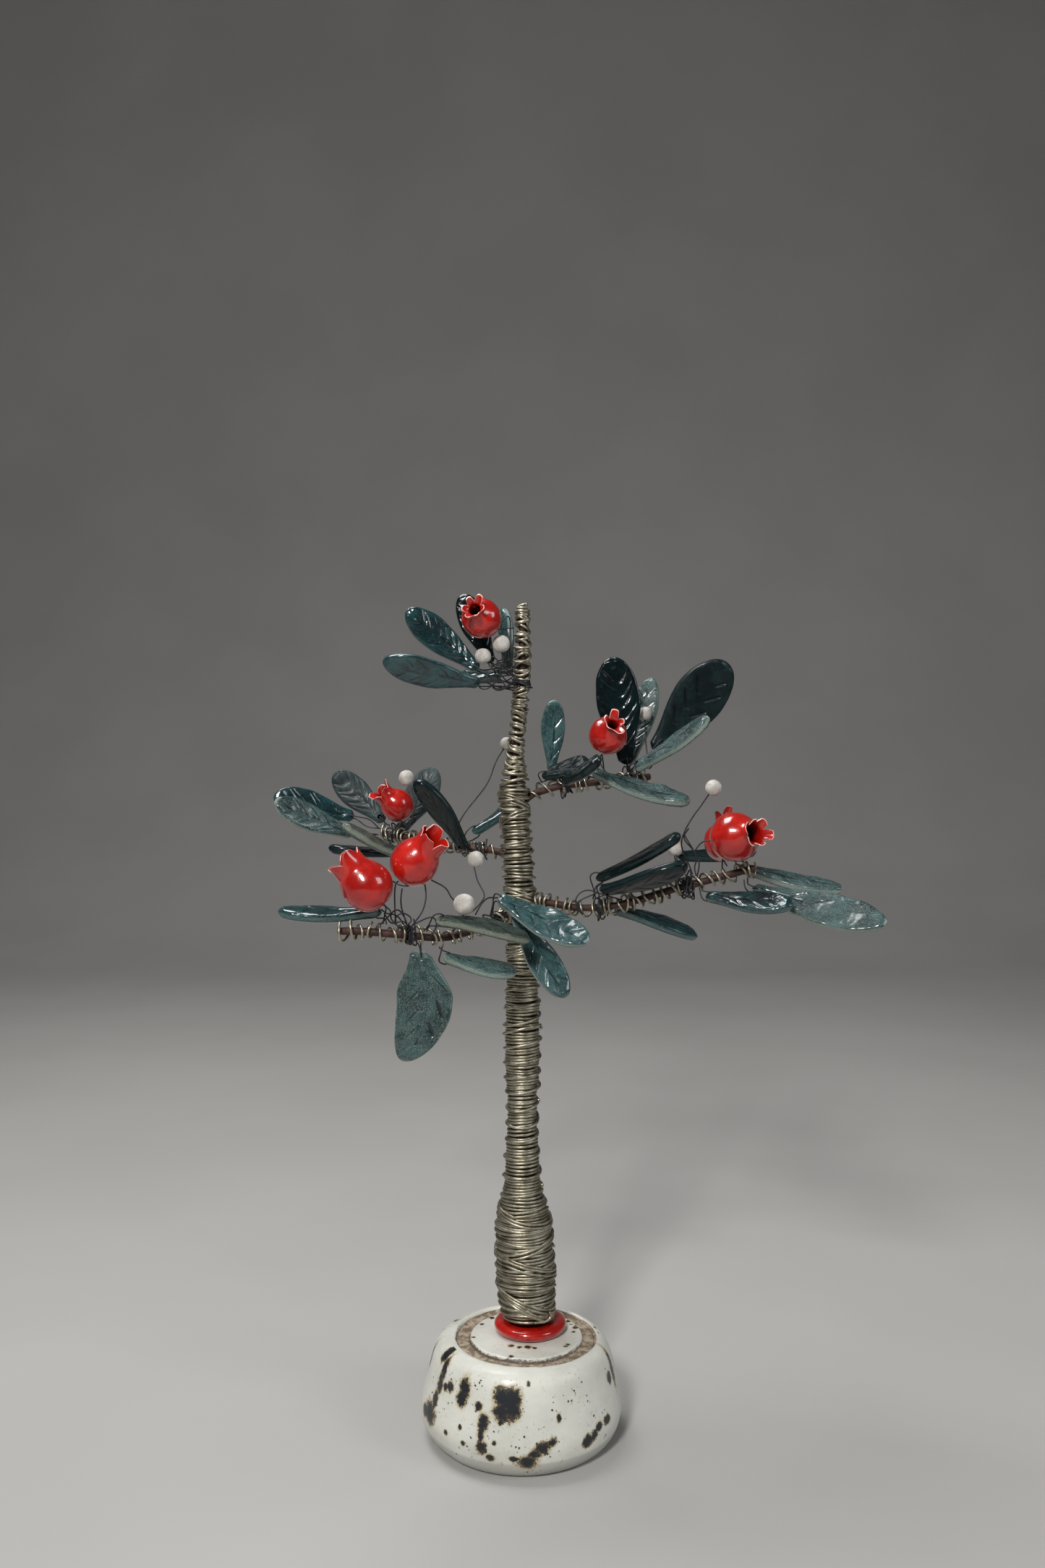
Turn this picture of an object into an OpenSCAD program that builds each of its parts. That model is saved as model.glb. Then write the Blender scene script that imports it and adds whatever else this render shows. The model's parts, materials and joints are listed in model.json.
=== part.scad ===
// Pomegranate tree of glazed ceramic and wire, on a stoneware base.
// Lengths are in millimetres and +Z is up. The front of the tree faces -Y.
// The origin is the centre of the foot, on the surface that the tree stands on.
// Everything above the base is placed in the tree's own frame, whose z = 0 is the top of the base.

/* [Base] */
// Height of the base, foot to flat top
base_h = 38; // [36:1:44]
// Radius of the base at its widest
base_r = 40; // [38:0.5:44]
// Radius of the foot
foot_r = 34; // [30:1:35]
// Depth of the socket that the trunk wires stand in
socket_depth = 30; // [20:1:32]
// Depth of the ring cut into the top
groove_depth = 1.6; // [0.8:0.2:3]

/* [Collar] */
// Outer radius of the red ceramic washer under the trunk
collar_r = 14.5; // [13.5:0.5:17]
// Thickness of the washer
collar_h = 4.6; // [3.6:0.2:4.6]

/* [Wire] */
// Diameter of the iron wires that form the trunk and the branches
core_d = 3; // [2.4:0.2:3]
// Diameter of the pale wire wound round them
wire_d = 1.2; // [0.8:0.1:1.2]
// Diameter of the black wire that ties on the leaves and the fruit
tie_d = 0.6; // [0.4:0.1:0.6]
// Distance between turns of the winding on the trunk
trunk_pitch = 1.3; // [1.2:0.1:2]
// Distance between turns of the open coil on a branch
coil_pitch = 4.6; // [3.6:0.2:6]

/* [Leaves and fruit] */
// Thickness of a leaf
leaf_t = 4; // [3:0.2:4.2]
// Diameter of the hole that a leaf is tied through
leaf_hole_d = 1.8; // [1.6:0.1:2]
// Wall of a hollow fruit
fruit_wall = 1.4; // [1:0.1:1.6]

/* [Hidden] */
$fn = 48;
fit = 0.05;           // gap between pieces that touch
core_r = core_d / 2;
wire_r = wire_d / 2;
tie_r = tie_d / 2;
helix_steps = 9;                            // points in one turn of a helix
helix_flat = cos(180 / helix_steps);        // how near to the axis a helix's chords come
coil_r = (core_r + wire_r + fit) / helix_flat;
bundle_r = core_d + fit;                    // circle that the outer trunk wires stand on
bundle_out_r = bundle_r + core_r;
winding_in_r = bundle_out_r + 0.3;
ridge = 0.45;                               // depth between two turns of the winding
groove_x = 1.8;
collar_at = [3.4, 4.5];
collar_hole_r = 7;
hole_in = 2.6;                              // from a leaf's stem end to its hole
socket_r = bundle_out_r + 0.1;

// The trunk's axis, from its buried end to its tip
TRUNK = [[2.2, 3, fit - socket_depth], [2.2, 3, 4.7], [0.2, 3, 60], [0.2, 3, 160], [-3.5, 3, 217], [0.1, 3, 260], [0.3, 3, 286]];

// Outer radius of the winding at heights above the base
WINDING = [[4.7, 10.2], [8, 10.9], [17, 11.5], [24, 12.2], [30, 12.3], [36, 11.6], [42, 11.8], [48, 10.6],
    [55, 8.7], [60, 7.5], [68, 7.4], [75, 6.6], [81, 6.3], [94, 6.4], [100, 7.2], [120, 7.4], [133, 7.2],
    [142, 6.6], [152, 6.4], [184, 6.4], [192, 6.2], [216, 6.2], [217.5, 5.4], [223, 4.9], [228, 3.6],
    [235, 3.1], [247, 3.0], [260, 3.3], [274, 3.2], [285, 2.9], [290, 2.4]];

// Each branch: name, place in the bundle in degrees, height where it starts to turn out, its route from there
BRANCHES = [
    ["lower_left", 210, 160, [[-3.6, 0.2, 164.5], [-6.5, -4, 166.6], [-11, -12, 165], [-19, -22, 162.5],
        [-29, -32, 161], [-43, -40, 163], [-55, -43.5, 164.5], [-66, -46, 165]]],
    ["lower_right", 330, 164, [[3.6, 0.9, 168.5], [6.5, -0.6, 171.2], [12, -3, 171], [22, -6, 169.5],
        [34, -10, 170.3], [46, -13, 173.5], [58, -16, 177.5], [74, -19, 182], [88, -22, 186]]],
    ["middle_left", 150, 183, [[-4.9, 4.9, 187.5], [-8, 5.4, 190.4], [-14, 6.5, 191.6], [-22, 8, 192],
        [-31, 14, 193.2], [-40, 21, 194.5], [-50, 28, 196], [-59, 34, 197]]],
    ["upper_right", 30, 206, [[0.8, 4.6, 210.5], [4, 4.4, 213.6], [9, 4, 215.4], [16, 4, 217.2],
        [29, 8, 218.6], [40, 11, 219.8], [52, 14, 221]]]];

// Slots that let the branches out of the winding: direction in degrees, lowest and highest point
EXITS = [[218, 160.5, 169], [332, 163.5, 174], [155, 183, 193], [15, 205.5, 216]];

// Each leaf: node, stem end, tip, width, a direction that its upper face looks in,
// how far its middle bows towards that face and sideways, what it is tied to, the tie's shift along
// that, and the share of its length at which it is widest
LEAVES = [
    ["leaf_top_1", [-17, -6, 263], [-45, -8, 286], 13.5, [0.1, -1, 0.2], -1.5, 0, "tip", 0, 0.62],
    ["leaf_top_2", [-16, -12, 257], [-53, -20, 265], 12.5, [0, -0.9, -0.45], 1.5, 0, "tip", 0, 0.62],
    ["leaves_top_back", [-12, -1, 266], [-24, 5, 294], 12, [0, -1, 0], -1, 0, "tip", 0, 0.62],
    ["leaves_top_back", [-6, 9, 264], [-8, 17, 290], 11, [-0.9, -0.4, 0], -1, 0, "tip", 0, 0.62],
    ["leaves_top_back", [-8.5, 4, 261], [-25, 14, 263], 10, [0, -0.5, 0.85], -1, 0, "tip", 0, 0.62],
    ["leaf_left_1", [-71, 33, 204], [-103, 23, 213], 14, [0, -1, 0.25], -2, 0, "middle_left", 0, 0.62],
    ["leaf_left_2", [-70, 25, 197], [-100, 10, 211], 12.5, [0, -0.85, 0.5], -2, 0, "middle_left", 0, 0.62],
    ["leaf_left_3", [-59, 40, 202], [-81, 45, 223], 13.5, [0.1, -1, 0.1], -1.5, 0, "middle_left", 0, 0.62],
    ["leaf_left_4", [-45, 11, 188], [-71, 0, 202], 11, [0.3, -0.15, 0.9], -1, 0, "middle_left", 0, 0.62],
    ["leaves_left_back", [-51, 22, 190], [-79, 15, 192], 12, [0, -0.1, 1], -1, 0, "middle_left", 0, 0.62],
    ["leaves_left_back", [-52, 42, 198], [-38.5, 56, 225], 14.5, [-0.1, -1, 0.1], -1.5, 0, "middle_left", 0, 0.62],
    ["leaf_left_5", [-22.3, -1, 191.5], [-41.5, -8, 219.5], 12, [-0.55, -0.75, -0.45], -1.8, 0, "middle_left", 0, 0.62],
    ["leaf_left_6", [-20, 15, 198], [1, 30, 214], 10, [-0.4, -0.15, 1], -1, 0, "middle_left", 0, 0.62],
    ["leaves_upper_near", [12, 8, 223], [13, 9, 252], 10.5, [0.1, -1, 0], -1, 0, "upper_right", 0, 0.62],
    ["leaves_upper_near", [8, 1, 221], [26.5, 2, 228], 9, [0, -0.6, 0.8], -1, 0, "upper_right", 0, 0.62],
    ["leaf_upper_1", [16, -4, 219], [30, -17, 228], 10, [-0.2, -0.5, 0.8], -1, 0, "upper_right", 0, 0.62],
    ["leaf_upper_2", [28, 1, 223], [65, -13, 211], 12.5, [0, -0.45, 0.9], -1.5, 0, "upper_right", 0, 0.62],
    ["leaf_upper_3", [43, 13, 226], [37, 16, 270], 18.5, [0, -1, 0.1], -1.2, 0, "upper_right", 0, 0.62],
    ["leaf_upper_4", [44, 19, 226], [55, 34, 263], 12, [-0.35, -0.9, 0.3], -1.5, 0, "upper_right", 0, 0.62],
    ["leaf_upper_5", [54, 11, 231], [83, 8, 267], 21.5, [0, -1, -0.1], -1.2, 0, "upper_right", 0, 0.62],
    ["leaf_upper_6", [45, 5, 224], [73, -9, 244], 12, [-0.45, -0.45, 0.75], -1, 0, "upper_right", 0, 0.62],
    ["leaf_right_1", [29, -8, 181], [60, -23, 199], 11.5, [-0.45, -0.15, 0.8], -1.2, 0, "lower_right", 0, 0.62],
    ["leaf_right_2", [30, -16, 177], [62, -29, 188], 12, [0.2, -0.6, -0.7], 1.5, 0, "lower_right", 0, 0.62],
    ["leaf_right_3", [36.5, -4, 168.5], [70, 2, 157], 10, [0.3, -0.45, 0.85], 1, 0, "lower_right", 0, 0.62],
    ["leaf_right_4", [63, 10, 189], [96, 16, 191], 11, [0, -0.3, 0.9], -1, 0, "lower_right", 0, 0.62],
    ["leaf_right_5", [84.5, -9, 186], [122, -22, 178], 11, [0, -0.4, 0.9], -1.5, 0, "lower_right", 0, 0.62],
    ["leaf_right_6", [69, -27, 176], [99, -41, 174], 11, [0, -0.65, 0.75], -1, 0, "lower_right", 0, 0.62],
    ["leaf_right_7", [86.5, -25, 178.5], [131, -48, 168], 15, [0.1, -0.85, 0.55], -2, 0, "lower_right", 0, 0.62],
    ["leaf_front_1", [-9, -19.2, 174.6], [25, -33, 159.5], 14, [0.1, -0.75, 0.6], -1.5, 0, "lower_left", 0, 0.62],
    ["leaf_front_2", [-3, -15, 169], [17, -22, 137], 13, [0.3, -0.9, 0.2], -1.5, 0, "lower_left", 0, 0.62],
    ["leaf_front_3", [-31, -43, 168.5], [3, -32, 160], 11, [0.2, -0.3, 0.9], 1.5, 0, "lower_left", 0, 0.62],
    ["leaf_front_4", [-29, -33, 154], [-2, -24, 147], 11.5, [0.2, -0.35, 0.9], -1, 0, "lower_left", 0, 0.62],
    ["leaf_front_5", [-51, -40, 171.5], [-88, -45, 172], 11, [0, -0.3, 0.95], -1.2, 0, "lower_left", 0, 0.62],
    ["leaf_hanging", [-37.2, -41, 157.5], [-42.6, -41, 117], 21, [0, -1, 0], 0, 4.4, "lower_left", 0, 0.4]];

// Each fruit: node, centre, radius, direction of its crown, what it is tied to, shift, points on the way
FRUITS = [
    ["fruit_front_left", [-55, -50, 181.5], 9.2, [-0.66, -0.1, 0.75], "lower_left", 0, []],
    ["fruit_front_right", [-39, -42, 189.5], 8.9, [0.62, -0.35, 0.7], "lower_left", 0, []],
    ["fruit_left", [-52, 28, 209], 7, [-0.7, -0.35, 0.6], "middle_left", 0, []],
    ["fruit_top", [-15.5, -12, 282], 7.8, [-0.27, -0.92, 0.27], "tip", 0, []],
    ["fruit_upper", [34, -2, 237], 7.6, [0.16, -0.86, 0.47], "upper_right", 0, []],
    ["fruit_right_big", [80, -26, 198], 9.4, [0.5, -0.84, 0.18], "lower_right", 0, []],
    ["fruit_right_small", [78.6, -8.2, 195.3], 7.6, [0.1, 0.35, 0.93], "lower_right", 0, []]];

// Each berry: node, centre, radius, direction of its hole, what it is tied to, shift, points on the way
BERRIES = [
    ["berries", [-8, -9, 272.5], 3.5, [0.2, 0.2, -1], "tip", 0, []],
    ["berries", [-15, -11, 267.5], 3.2, [0.6, 0, -0.8], "tip", 0, []],
    ["berries", [-48, 25, 220.5], 3.3, [0.9, 0.2, -0.5], "middle_left", 0, []],
    ["berries", [-18, -6, 188.5], 3.3, [-0.4, 0.9, -0.1], "middle_left", 0, []],
    ["berries", [-21, -39, 174], 4, [-0.1, 0.5, -0.9], "lower_left", 0, []],
    ["berries", [51, 21.5, 247], 3, [0, -0.1, -1], "upper_right", 0, []],
    ["berries", [61, 1, 192.5], 3.2, [0.1, -0.3, -0.9], "lower_right", 0, []],
    ["berry_back", [-6.3, 24, 234.6], 2.9, [-0.5, -0.4, -0.8], "middle_left", 0,
        [[-25, 12, 203.5], [-15.5, 18, 216.5]]],
    ["berry_right", [73.3, -18, 216.5], 3.2, [-0.54, 0.18, -0.82], "lower_right", 0,
        [[61.5, -16, 198]]]];

LEAF_NODES = ["leaf_top_1", "leaf_top_2", "leaves_top_back", "leaf_left_1", "leaf_left_2", "leaf_left_3",
    "leaf_left_4", "leaves_left_back", "leaf_left_5", "leaf_left_6", "leaves_upper_near", "leaf_upper_1",
    "leaf_upper_2", "leaf_upper_3", "leaf_upper_4", "leaf_upper_5", "leaf_upper_6", "leaf_right_1",
    "leaf_right_2", "leaf_right_3", "leaf_right_4", "leaf_right_5", "leaf_right_6", "leaf_right_7",
    "leaf_front_1", "leaf_front_2", "leaf_front_3", "leaf_front_4", "leaf_front_5", "leaf_hanging"];
FRUIT_NODES = [for (f = FRUITS) f[0]];
BERRY_NODES = ["berries", "berry_back", "berry_right"];
CORE_NODES = [for (b = BRANCHES) str("core_", b[0])];

// ---- vectors and paths ----

function unit(v) = v / norm(v);
function square_to(v, axis) = unit(v - axis * (v * axis));
function any_normal(t) = square_to(abs(t[2]) < 0.8 ? [0, 0, 1] : [1, 0, 0], t);
function tangents(path) = [for (i = [0:len(path) - 1])
    unit(path[min(i + 1, len(path) - 1)] - path[max(i - 1, 0)])];
// Normals carried along a path without twist
function normals(ts) = [for (i = 0, n = any_normal(ts[0]); i < len(ts);
    i = i + 1, n = i < len(ts) ? square_to(n, ts[i]) : n) n];

// A Catmull-Rom curve through the points, with n steps between two of them
function spline(p, n) = concat([for (i = [0:len(p) - 2]) let (
        a = i > 0 ? p[i - 1] : 2 * p[0] - p[1],
        d = i < len(p) - 2 ? p[i + 2] : 2 * p[i + 1] - p[i])
    for (k = [0:n - 1]) let (t = k / n)
        ((2 * p[i]) + (p[i + 1] - a) * t + (2 * a - 5 * p[i] + 4 * p[i + 1] - d) * t * t
            + (3 * p[i] - a - 3 * p[i + 1] + d) * t * t * t) / 2], [p[len(p) - 1]]);

function lengths(p) = [for (i = 0, s = 0; i < len(p);
    s = s + (i < len(p) - 1 ? norm(p[i + 1] - p[i]) : 0), i = i + 1) s];
// The point at distance s along a path
function point_at(p, s) = let (at = lengths(p))
    [for (k = [0:2]) lookup(s, [for (i = [0:len(p) - 1]) [at[i], p[i][k]]])];
function resampled(p, step) = let (at = lengths(p), total = at[len(p) - 1], n = ceil(total / step))
    [for (j = [0:n]) [for (k = [0:2])
        lookup(total * j / n, [for (i = [0:len(p) - 1]) [at[i], p[i][k]]])]];

// A helix of radius r round a path
function helix(path, r, pitch) = let (
        line = resampled(path, pitch / helix_steps), ts = tangents(line), ns = normals(ts))
    [for (i = [0:len(line) - 1]) let (a = 360 * i / helix_steps)
        line[i] + r * (cos(a) * ns[i] + sin(a) * cross(ts[i], ns[i]))];

// A closed round tube along a path, with flat ends
module tube(path, r, sides = 8) {
    ts = tangents(path);
    ns = normals(ts);
    n = len(path);
    points = [for (i = [0:n - 1]) let (b = cross(ts[i], ns[i]))
        for (k = [0:sides - 1]) let (a = 360 * k / sides)
            path[i] + r * (cos(a) * ns[i] + sin(a) * b)];
    walls = [for (i = [0:n - 2]) for (k = [0:sides - 1]) let (
            p = i * sides + k, q = i * sides + (k + 1) % sides)
        for (f = [[p, p + sides, q], [q, p + sides, q + sides]]) f];
    ends = [[for (k = [0:sides - 1]) k], [for (k = [0:sides - 1]) n * sides - 1 - k]];
    polyhedron(points, concat(walls, ends), convexity = 10);
}

// Puts its children with their z axis from a to b
module from_to(a, b) {
    d = b - a;
    translate(a) rotate([0, acos(d[2] / norm(d)), atan2(d[1], d[0])]) children();
}

module above_base() {
    translate([0, 0, base_h]) children();
}

// ---- base ----

function arc(c, r, from, to, n = 8) = [for (i = [0:n]) let (a = from + (to - from) * i / n)
    c + r * [cos(a), sin(a)]];

// Outside of the base, from the foot to the top
function base_outside() = concat([[foot_r, 0]],
    [for (i = [1:8]) let (a = 90 * i / 8) [foot_r + (base_r - foot_r) * sin(a), 11 * (1 - cos(a))]],
    [[base_r - 0.4, 14], [base_r - 1.3, base_h / 2], [base_r - 3.6, base_h - 8]],
    arc([base_r - 11, base_h - 6], 6, 15, 90));

module base() {
    color("ivory") difference() {
        rotate_extrude($fn = 96) polygon(concat([[0, 0]], base_outside(), [[0, base_h]]));
        translate([groove_x, 0, base_h]) rotate_extrude($fn = 96)
            polygon([[21.4, 1], [22.6, -groove_depth], [27.4, -groove_depth], [28.6, 1]]);
        translate([TRUNK[0][0], TRUNK[0][1], base_h - socket_depth]) cylinder(r = socket_r, h = socket_depth + 1);
    }
}

module collar() {
    edge = collar_h / 2;
    color("firebrick") above_base() translate([collar_at[0], collar_at[1], 0]) rotate_extrude($fn = 72)
        polygon(concat([[collar_hole_r, fit], [collar_r - edge, fit]],
            arc([collar_r - edge, edge + fit / 2], edge - fit / 2, -75, 90),
            [[collar_hole_r + 2, collar_h - 0.4], [collar_hole_r, collar_h - 0.8]]));
}

// ---- trunk and branches ----

function bundle_at(b) = bundle_r * [cos(b[1]), sin(b[1]), 0];
// The trunk's axis at height z
function axis_at(z) = [for (k = [0:1]) lookup(z, [for (t = TRUNK) [t[2], t[k]]])];
// The part of a branch that stands free of the trunk
function branch_line(b) = spline(concat([[axis_at(b[2])[0], axis_at(b[2])[1], b[2]] + bundle_at(b)], b[3]), 3);
function branch(name) = branch_line([for (b = BRANCHES) if (b[0] == name) b][0]);
// A branch's whole core, from the buried end up the trunk and out
function core_line(b) = concat([for (t = TRUNK) if (t[2] < b[2] - 1) t + bundle_at(b)], branch_line(b));

module core(b) {
    color("saddlebrown") above_base() tube(core_line(b), core_r);
}

module core_leader() {
    color("saddlebrown") above_base() tube(TRUNK, core_r);
}

// One straight stretch of the winding, between two points of the trunk's axis
module winding(a, b, inside) {
    long = norm(b - a);
    turns = floor((long - 0.6) / trunk_pitch);
    pitch = (long - 0.6) / turns;
    from_to(a, b) rotate_extrude($fn = 48) polygon(concat([[inside, 0.3]],
        [for (i = [0:turns]) for (k = [0:1]) let (z = (i + k / 2) * pitch) if (z <= long - 0.59)
            [lookup(a[2] + z, WINDING) - (k == 0 ? ridge : 0), z + 0.3]],
        [[inside, long - 0.3]]));
}

module trunk_winding() {
    color("tan") above_base() {
        for (i = [1:2]) winding(TRUNK[i], TRUNK[i + 1], winding_in_r);
        difference() {
            winding(TRUNK[3], TRUNK[4], winding_in_r);
            for (e = EXITS) translate([axis_at(e[1])[0], axis_at(e[1])[1], e[1]]) rotate(e[0])
                translate([2.5, -2.4, 0]) cube([8, 4.8, e[2] - e[1]]);
        }
    }
}

module tip_winding() {
    color("tan") above_base() {
        winding(TRUNK[4], TRUNK[5], core_r + 0.2);
        winding(TRUNK[5], TRUNK[6] + [0, 0, 4], core_r + 0.2);
    }
}

// The open coil of pale wire round the free part of a branch
module coil(name, skip) {
    line = branch(name);
    total = lengths(line)[len(line) - 1];
    kept = [for (s = [skip:2:total]) point_at(line, s)];
    color("tan") above_base() tube(helix(kept, coil_r, coil_pitch), wire_r, 5);
}

// ---- leaves ----

// Half width of a leaf of width 1, at share u of its length
function leaf_half(u, widest) = let (stem = 0.4)
    0.5 * (u > widest ? sqrt(max(0, 1 - pow((u - widest) / (1 - widest), 2)))
        : stem + (1 - stem) * (1 - cos(180 * u / widest)) / 2) * min(1, sqrt(u / 0.05 + 0.12));
function bow(u) = 4 * u * (1 - u);
function leaf_axis(leaf) = unit(leaf[2] - leaf[1]);
function leaf_up(leaf) = square_to(leaf[4], leaf_axis(leaf));
// A leaf's centre line at share u of its length
function leaf_mid(leaf, u) = leaf[1] + (leaf[2] - leaf[1]) * u
    + leaf_up(leaf) * leaf[5] * bow(u) + cross(leaf_up(leaf), leaf_axis(leaf)) * leaf[6] * bow(u);
function leaf_hole(leaf) = leaf_mid(leaf, hole_in / norm(leaf[2] - leaf[1]));

module leaf(leaf) {
    stations = 9;
    sides = 8;
    up = leaf_up(leaf);
    side = cross(up, leaf_axis(leaf));
    points = [for (i = [0:stations]) let (
            u = 0.003 + 0.994 * (1 - cos(180 * i / stations)) / 2,
            w = leaf[3] * leaf_half(u, leaf[9]),
            h = leaf_t / 2 * min(1, 0.6 + 8 * min(u, 1 - u)))
        for (k = [0:sides - 1]) let (a = 360 * (k + 0.5) / sides, c = cos(a), s = sin(a))
            leaf_mid(leaf, u) + side * w * sign(c) * pow(abs(c), 0.8) + up * h * sign(s) * pow(abs(s), 0.7)];
    walls = [for (i = [0:stations - 1]) for (k = [0:sides - 1]) let (
            p = i * sides + k, q = i * sides + (k + 1) % sides)
        for (f = [[p, p + sides, q], [q, p + sides, q + sides]]) f];
    ends = [[for (k = [0:sides - 1]) k], [for (k = [0:sides - 1]) (stations + 1) * sides - 1 - k]];
    color("darkslategray") above_base() difference() {
        polyhedron(points, concat(walls, ends), convexity = 4);
        from_to(leaf_hole(leaf) - up * leaf_t, leaf_hole(leaf) + up * leaf_t)
            cylinder(d = leaf_hole_d, h = 2 * leaf_t, $fn = 24);
    }
}

// ---- fruit and berries ----

// A hollow fruit of radius r with a crown of five blunt sepals, its centre at the origin and its crown up
module fruit_shape(r) {
    wall = fruit_wall;
    neck = 0.54 * r;
    mouth = 0.72 * r;
    crown = 1.66 * r;
    difference() {
        rotate_extrude() difference() {
            polygon(concat([[0, -0.93 * r], [0.3 * r, -0.93 * r]], arc([0, 0], r, -68, 40, 13),
                [[0.65 * r, 0.86 * r], [neck + 0.02 * r, 1.0 * r], [neck, 1.14 * r], [0.6 * r, 1.4 * r], [mouth, crown],
                [mouth - 0.8, crown], [0, crown]]));
            polygon(concat([[0, -0.93 * r + wall]], arc([0, 0], r - wall, -62, 40, 10),
                [[neck - wall * 0.7, 1.0 * r], [neck - wall * 0.7, 1.14 * r], [0.6 * r - 1, 1.4 * r],
                [mouth - 0.8, crown], [0, crown + 1]]));
        }
        for (i = [0:4]) rotate(72 * i) translate([0, 0, 1.22 * r]) rotate([90, 0, 90])
            linear_extrude(r) polygon([[0, 0], [0.24 * r, 0.5 * r], [-0.24 * r, 0.5 * r]]);
        translate([0, 0, -r]) cylinder(r = tie_r + 0.3, h = r);
    }
}
module fruit(f) {
    color("firebrick") above_base() from_to(f[1], f[1] + f[3]) fruit_shape(f[2]);
}
module berry(b) {
    color("white") above_base() difference() {
        translate(b[1]) sphere(b[2]);
        from_to(b[1], b[1] + b[3]) cylinder(r = tie_r + 0.15, h = 2 * b[2], $fn = 24);
    }
}

// ---- ties and stems of black wire ----

module wire(route) {
    tube(spline(route, 3), tie_r, 4);
}

// The line that a tie goes round: the tip of the trunk, or a branch
function held_line(name) = name == "tip" ? [for (i = [4:6]) TRUNK[i]] : branch(name);
function held_r(name) = name == "tip" ? 3.4 : coil_r + wire_r;
function turns_r(name) = (held_r(name) + tie_r + fit) / helix_flat;
// Distance along a line of its nearest point to p
function nearest(line, p) = let (fine = resampled(line, 1), at = lengths(fine),
        d = [for (q = fine) norm(q - p)])
    [for (i = [0:len(fine) - 1]) if (d[i] == min(d)) at[i]][0];
// Where a tie leaves its turns on the side that faces p, shifted along the line and out from it
function tie_off(name, p, shift, out = 0) = let (
        line = held_line(name), s = nearest(line, p) + shift,
        q = point_at(line, s), t = unit(point_at(line, s + 1) - point_at(line, s - 1)))
    q + (turns_r(name) + 2 * tie_r + 2 * fit + out) * square_to(p - q, t);

// Tie turns round a line, from distance s on
module turns(name, s) {
    line = held_line(name);
    tube(helix([for (k = [0:3]) point_at(line, s + k)], turns_r(name), 0.9), tie_r, 4);
}

// A loop from a branch, through a leaf's hole and back
module leaf_tie(leaf) {
    out = leaf[1] - leaf_axis(leaf) * 1.3;
    hole = leaf_hole(leaf);
    lift = leaf_up(leaf) * (leaf_t / 2 + 0.8);
    wire([tie_off(leaf[7], out, leaf[8] + 0.6), out + lift, hole + lift, hole, hole - lift, out - lift,
        tie_off(leaf[7], out, leaf[8] - 0.6)]);
}

// A wire from a branch to the inside of a berry or a fruit
module stem(name, foot, away, shift, mid, out = 0) {
    wire(concat([tie_off(name, len(mid) > 0 ? mid[0] : foot, shift, out)], mid,
        [foot + 5 * away, foot + 2 * away, foot - 2 * away]));
}
module berry_stem(b, out = 0) {
    stem(b[4], b[1] + b[2] * unit(b[3]), unit(b[3]), b[5], b[6], out);
}
module fruit_stem(f, out = 0) {
    stem(f[4], f[1] - 0.93 * f[2] * unit(f[3]), -unit(f[3]), f[5], f[6], out);
}

// All the ties on one line, but for the stems that are nodes of their own
module ties(name, knots) {
    color("black") above_base() {
        for (s = knots) turns(name, s);
        for (l = LEAVES) if (l[7] == name) leaf_tie(l);
        for (f = FRUITS) if (f[4] == name && f[0] != "fruit_front_right") fruit_stem(f);
        for (b = BERRIES) if (b[4] == name && b[0] == "berries") berry_stem(b);
    }
}

module fruit_stem_node(name) {
    color("black") above_base() for (f = FRUITS) if (f[0] == name) fruit_stem(f, 0.4);
}
module berry_stem_node(name) {
    color("black") above_base() for (b = BERRIES) if (b[0] == name) berry_stem(b, 0.4);
}

// ---- the nodes ----

base();
collar();
core_leader();
for (i = [0:len(BRANCHES) - 1]) core(BRANCHES[i]);
trunk_winding();
tip_winding();
union() {  // coils_left
    coil("lower_left", 13);
    coil("middle_left", 13);
}
union() {  // coils_right
    coil("lower_right", 12);
    coil("upper_right", 12);
}
ties("tip", [41]);  // tie_top
ties("middle_left", [16, 60]);  // tie_middle_left
ties("upper_right", [22, 50]);  // tie_upper_right
ties("lower_right", [34, 68]);  // tie_lower_right
ties("lower_left", [16, 60]);  // tie_lower_left
fruit_stem_node("fruit_front_right");  // stem_fruit_front_right
berry_stem_node("berry_back");  // stem_berry_back
berry_stem_node("berry_right");  // stem_berry_right
for (f = FRUITS) fruit(f);
for (b = BERRIES) berry(b);
for (l = LEAVES) leaf(l);
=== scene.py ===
"""A pomegranate tree of glazed clay and wire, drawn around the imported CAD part."""
import bpy
import json
import math
import numpy as np
from collections import namedtuple
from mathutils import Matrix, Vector, noise


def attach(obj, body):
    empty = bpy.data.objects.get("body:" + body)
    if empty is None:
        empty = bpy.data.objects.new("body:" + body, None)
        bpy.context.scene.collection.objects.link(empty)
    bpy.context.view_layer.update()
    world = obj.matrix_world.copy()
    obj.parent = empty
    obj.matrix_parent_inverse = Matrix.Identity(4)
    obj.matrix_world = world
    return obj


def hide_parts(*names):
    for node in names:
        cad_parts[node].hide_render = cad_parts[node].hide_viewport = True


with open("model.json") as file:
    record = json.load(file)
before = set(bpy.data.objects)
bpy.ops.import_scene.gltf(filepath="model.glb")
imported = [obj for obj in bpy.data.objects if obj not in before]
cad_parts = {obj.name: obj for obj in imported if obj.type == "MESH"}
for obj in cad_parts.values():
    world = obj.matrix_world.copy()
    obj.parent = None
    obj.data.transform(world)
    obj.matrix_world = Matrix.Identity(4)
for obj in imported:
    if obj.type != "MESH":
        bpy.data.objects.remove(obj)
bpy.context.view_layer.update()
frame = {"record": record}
BODY = {n: b for b, ns in frame["record"]["behaviour"]["bodies"].items() for n in ns}
MM = 0.001
BASE_H = 38.0


# ---- vectors and curves, in mm

def unit(v):
    v = np.asarray(v, float)
    return v / np.linalg.norm(v)


def square_to(v, axis):
    v, axis = np.asarray(v, float), np.asarray(axis, float)
    return unit(v - axis * (v @ axis))


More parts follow.
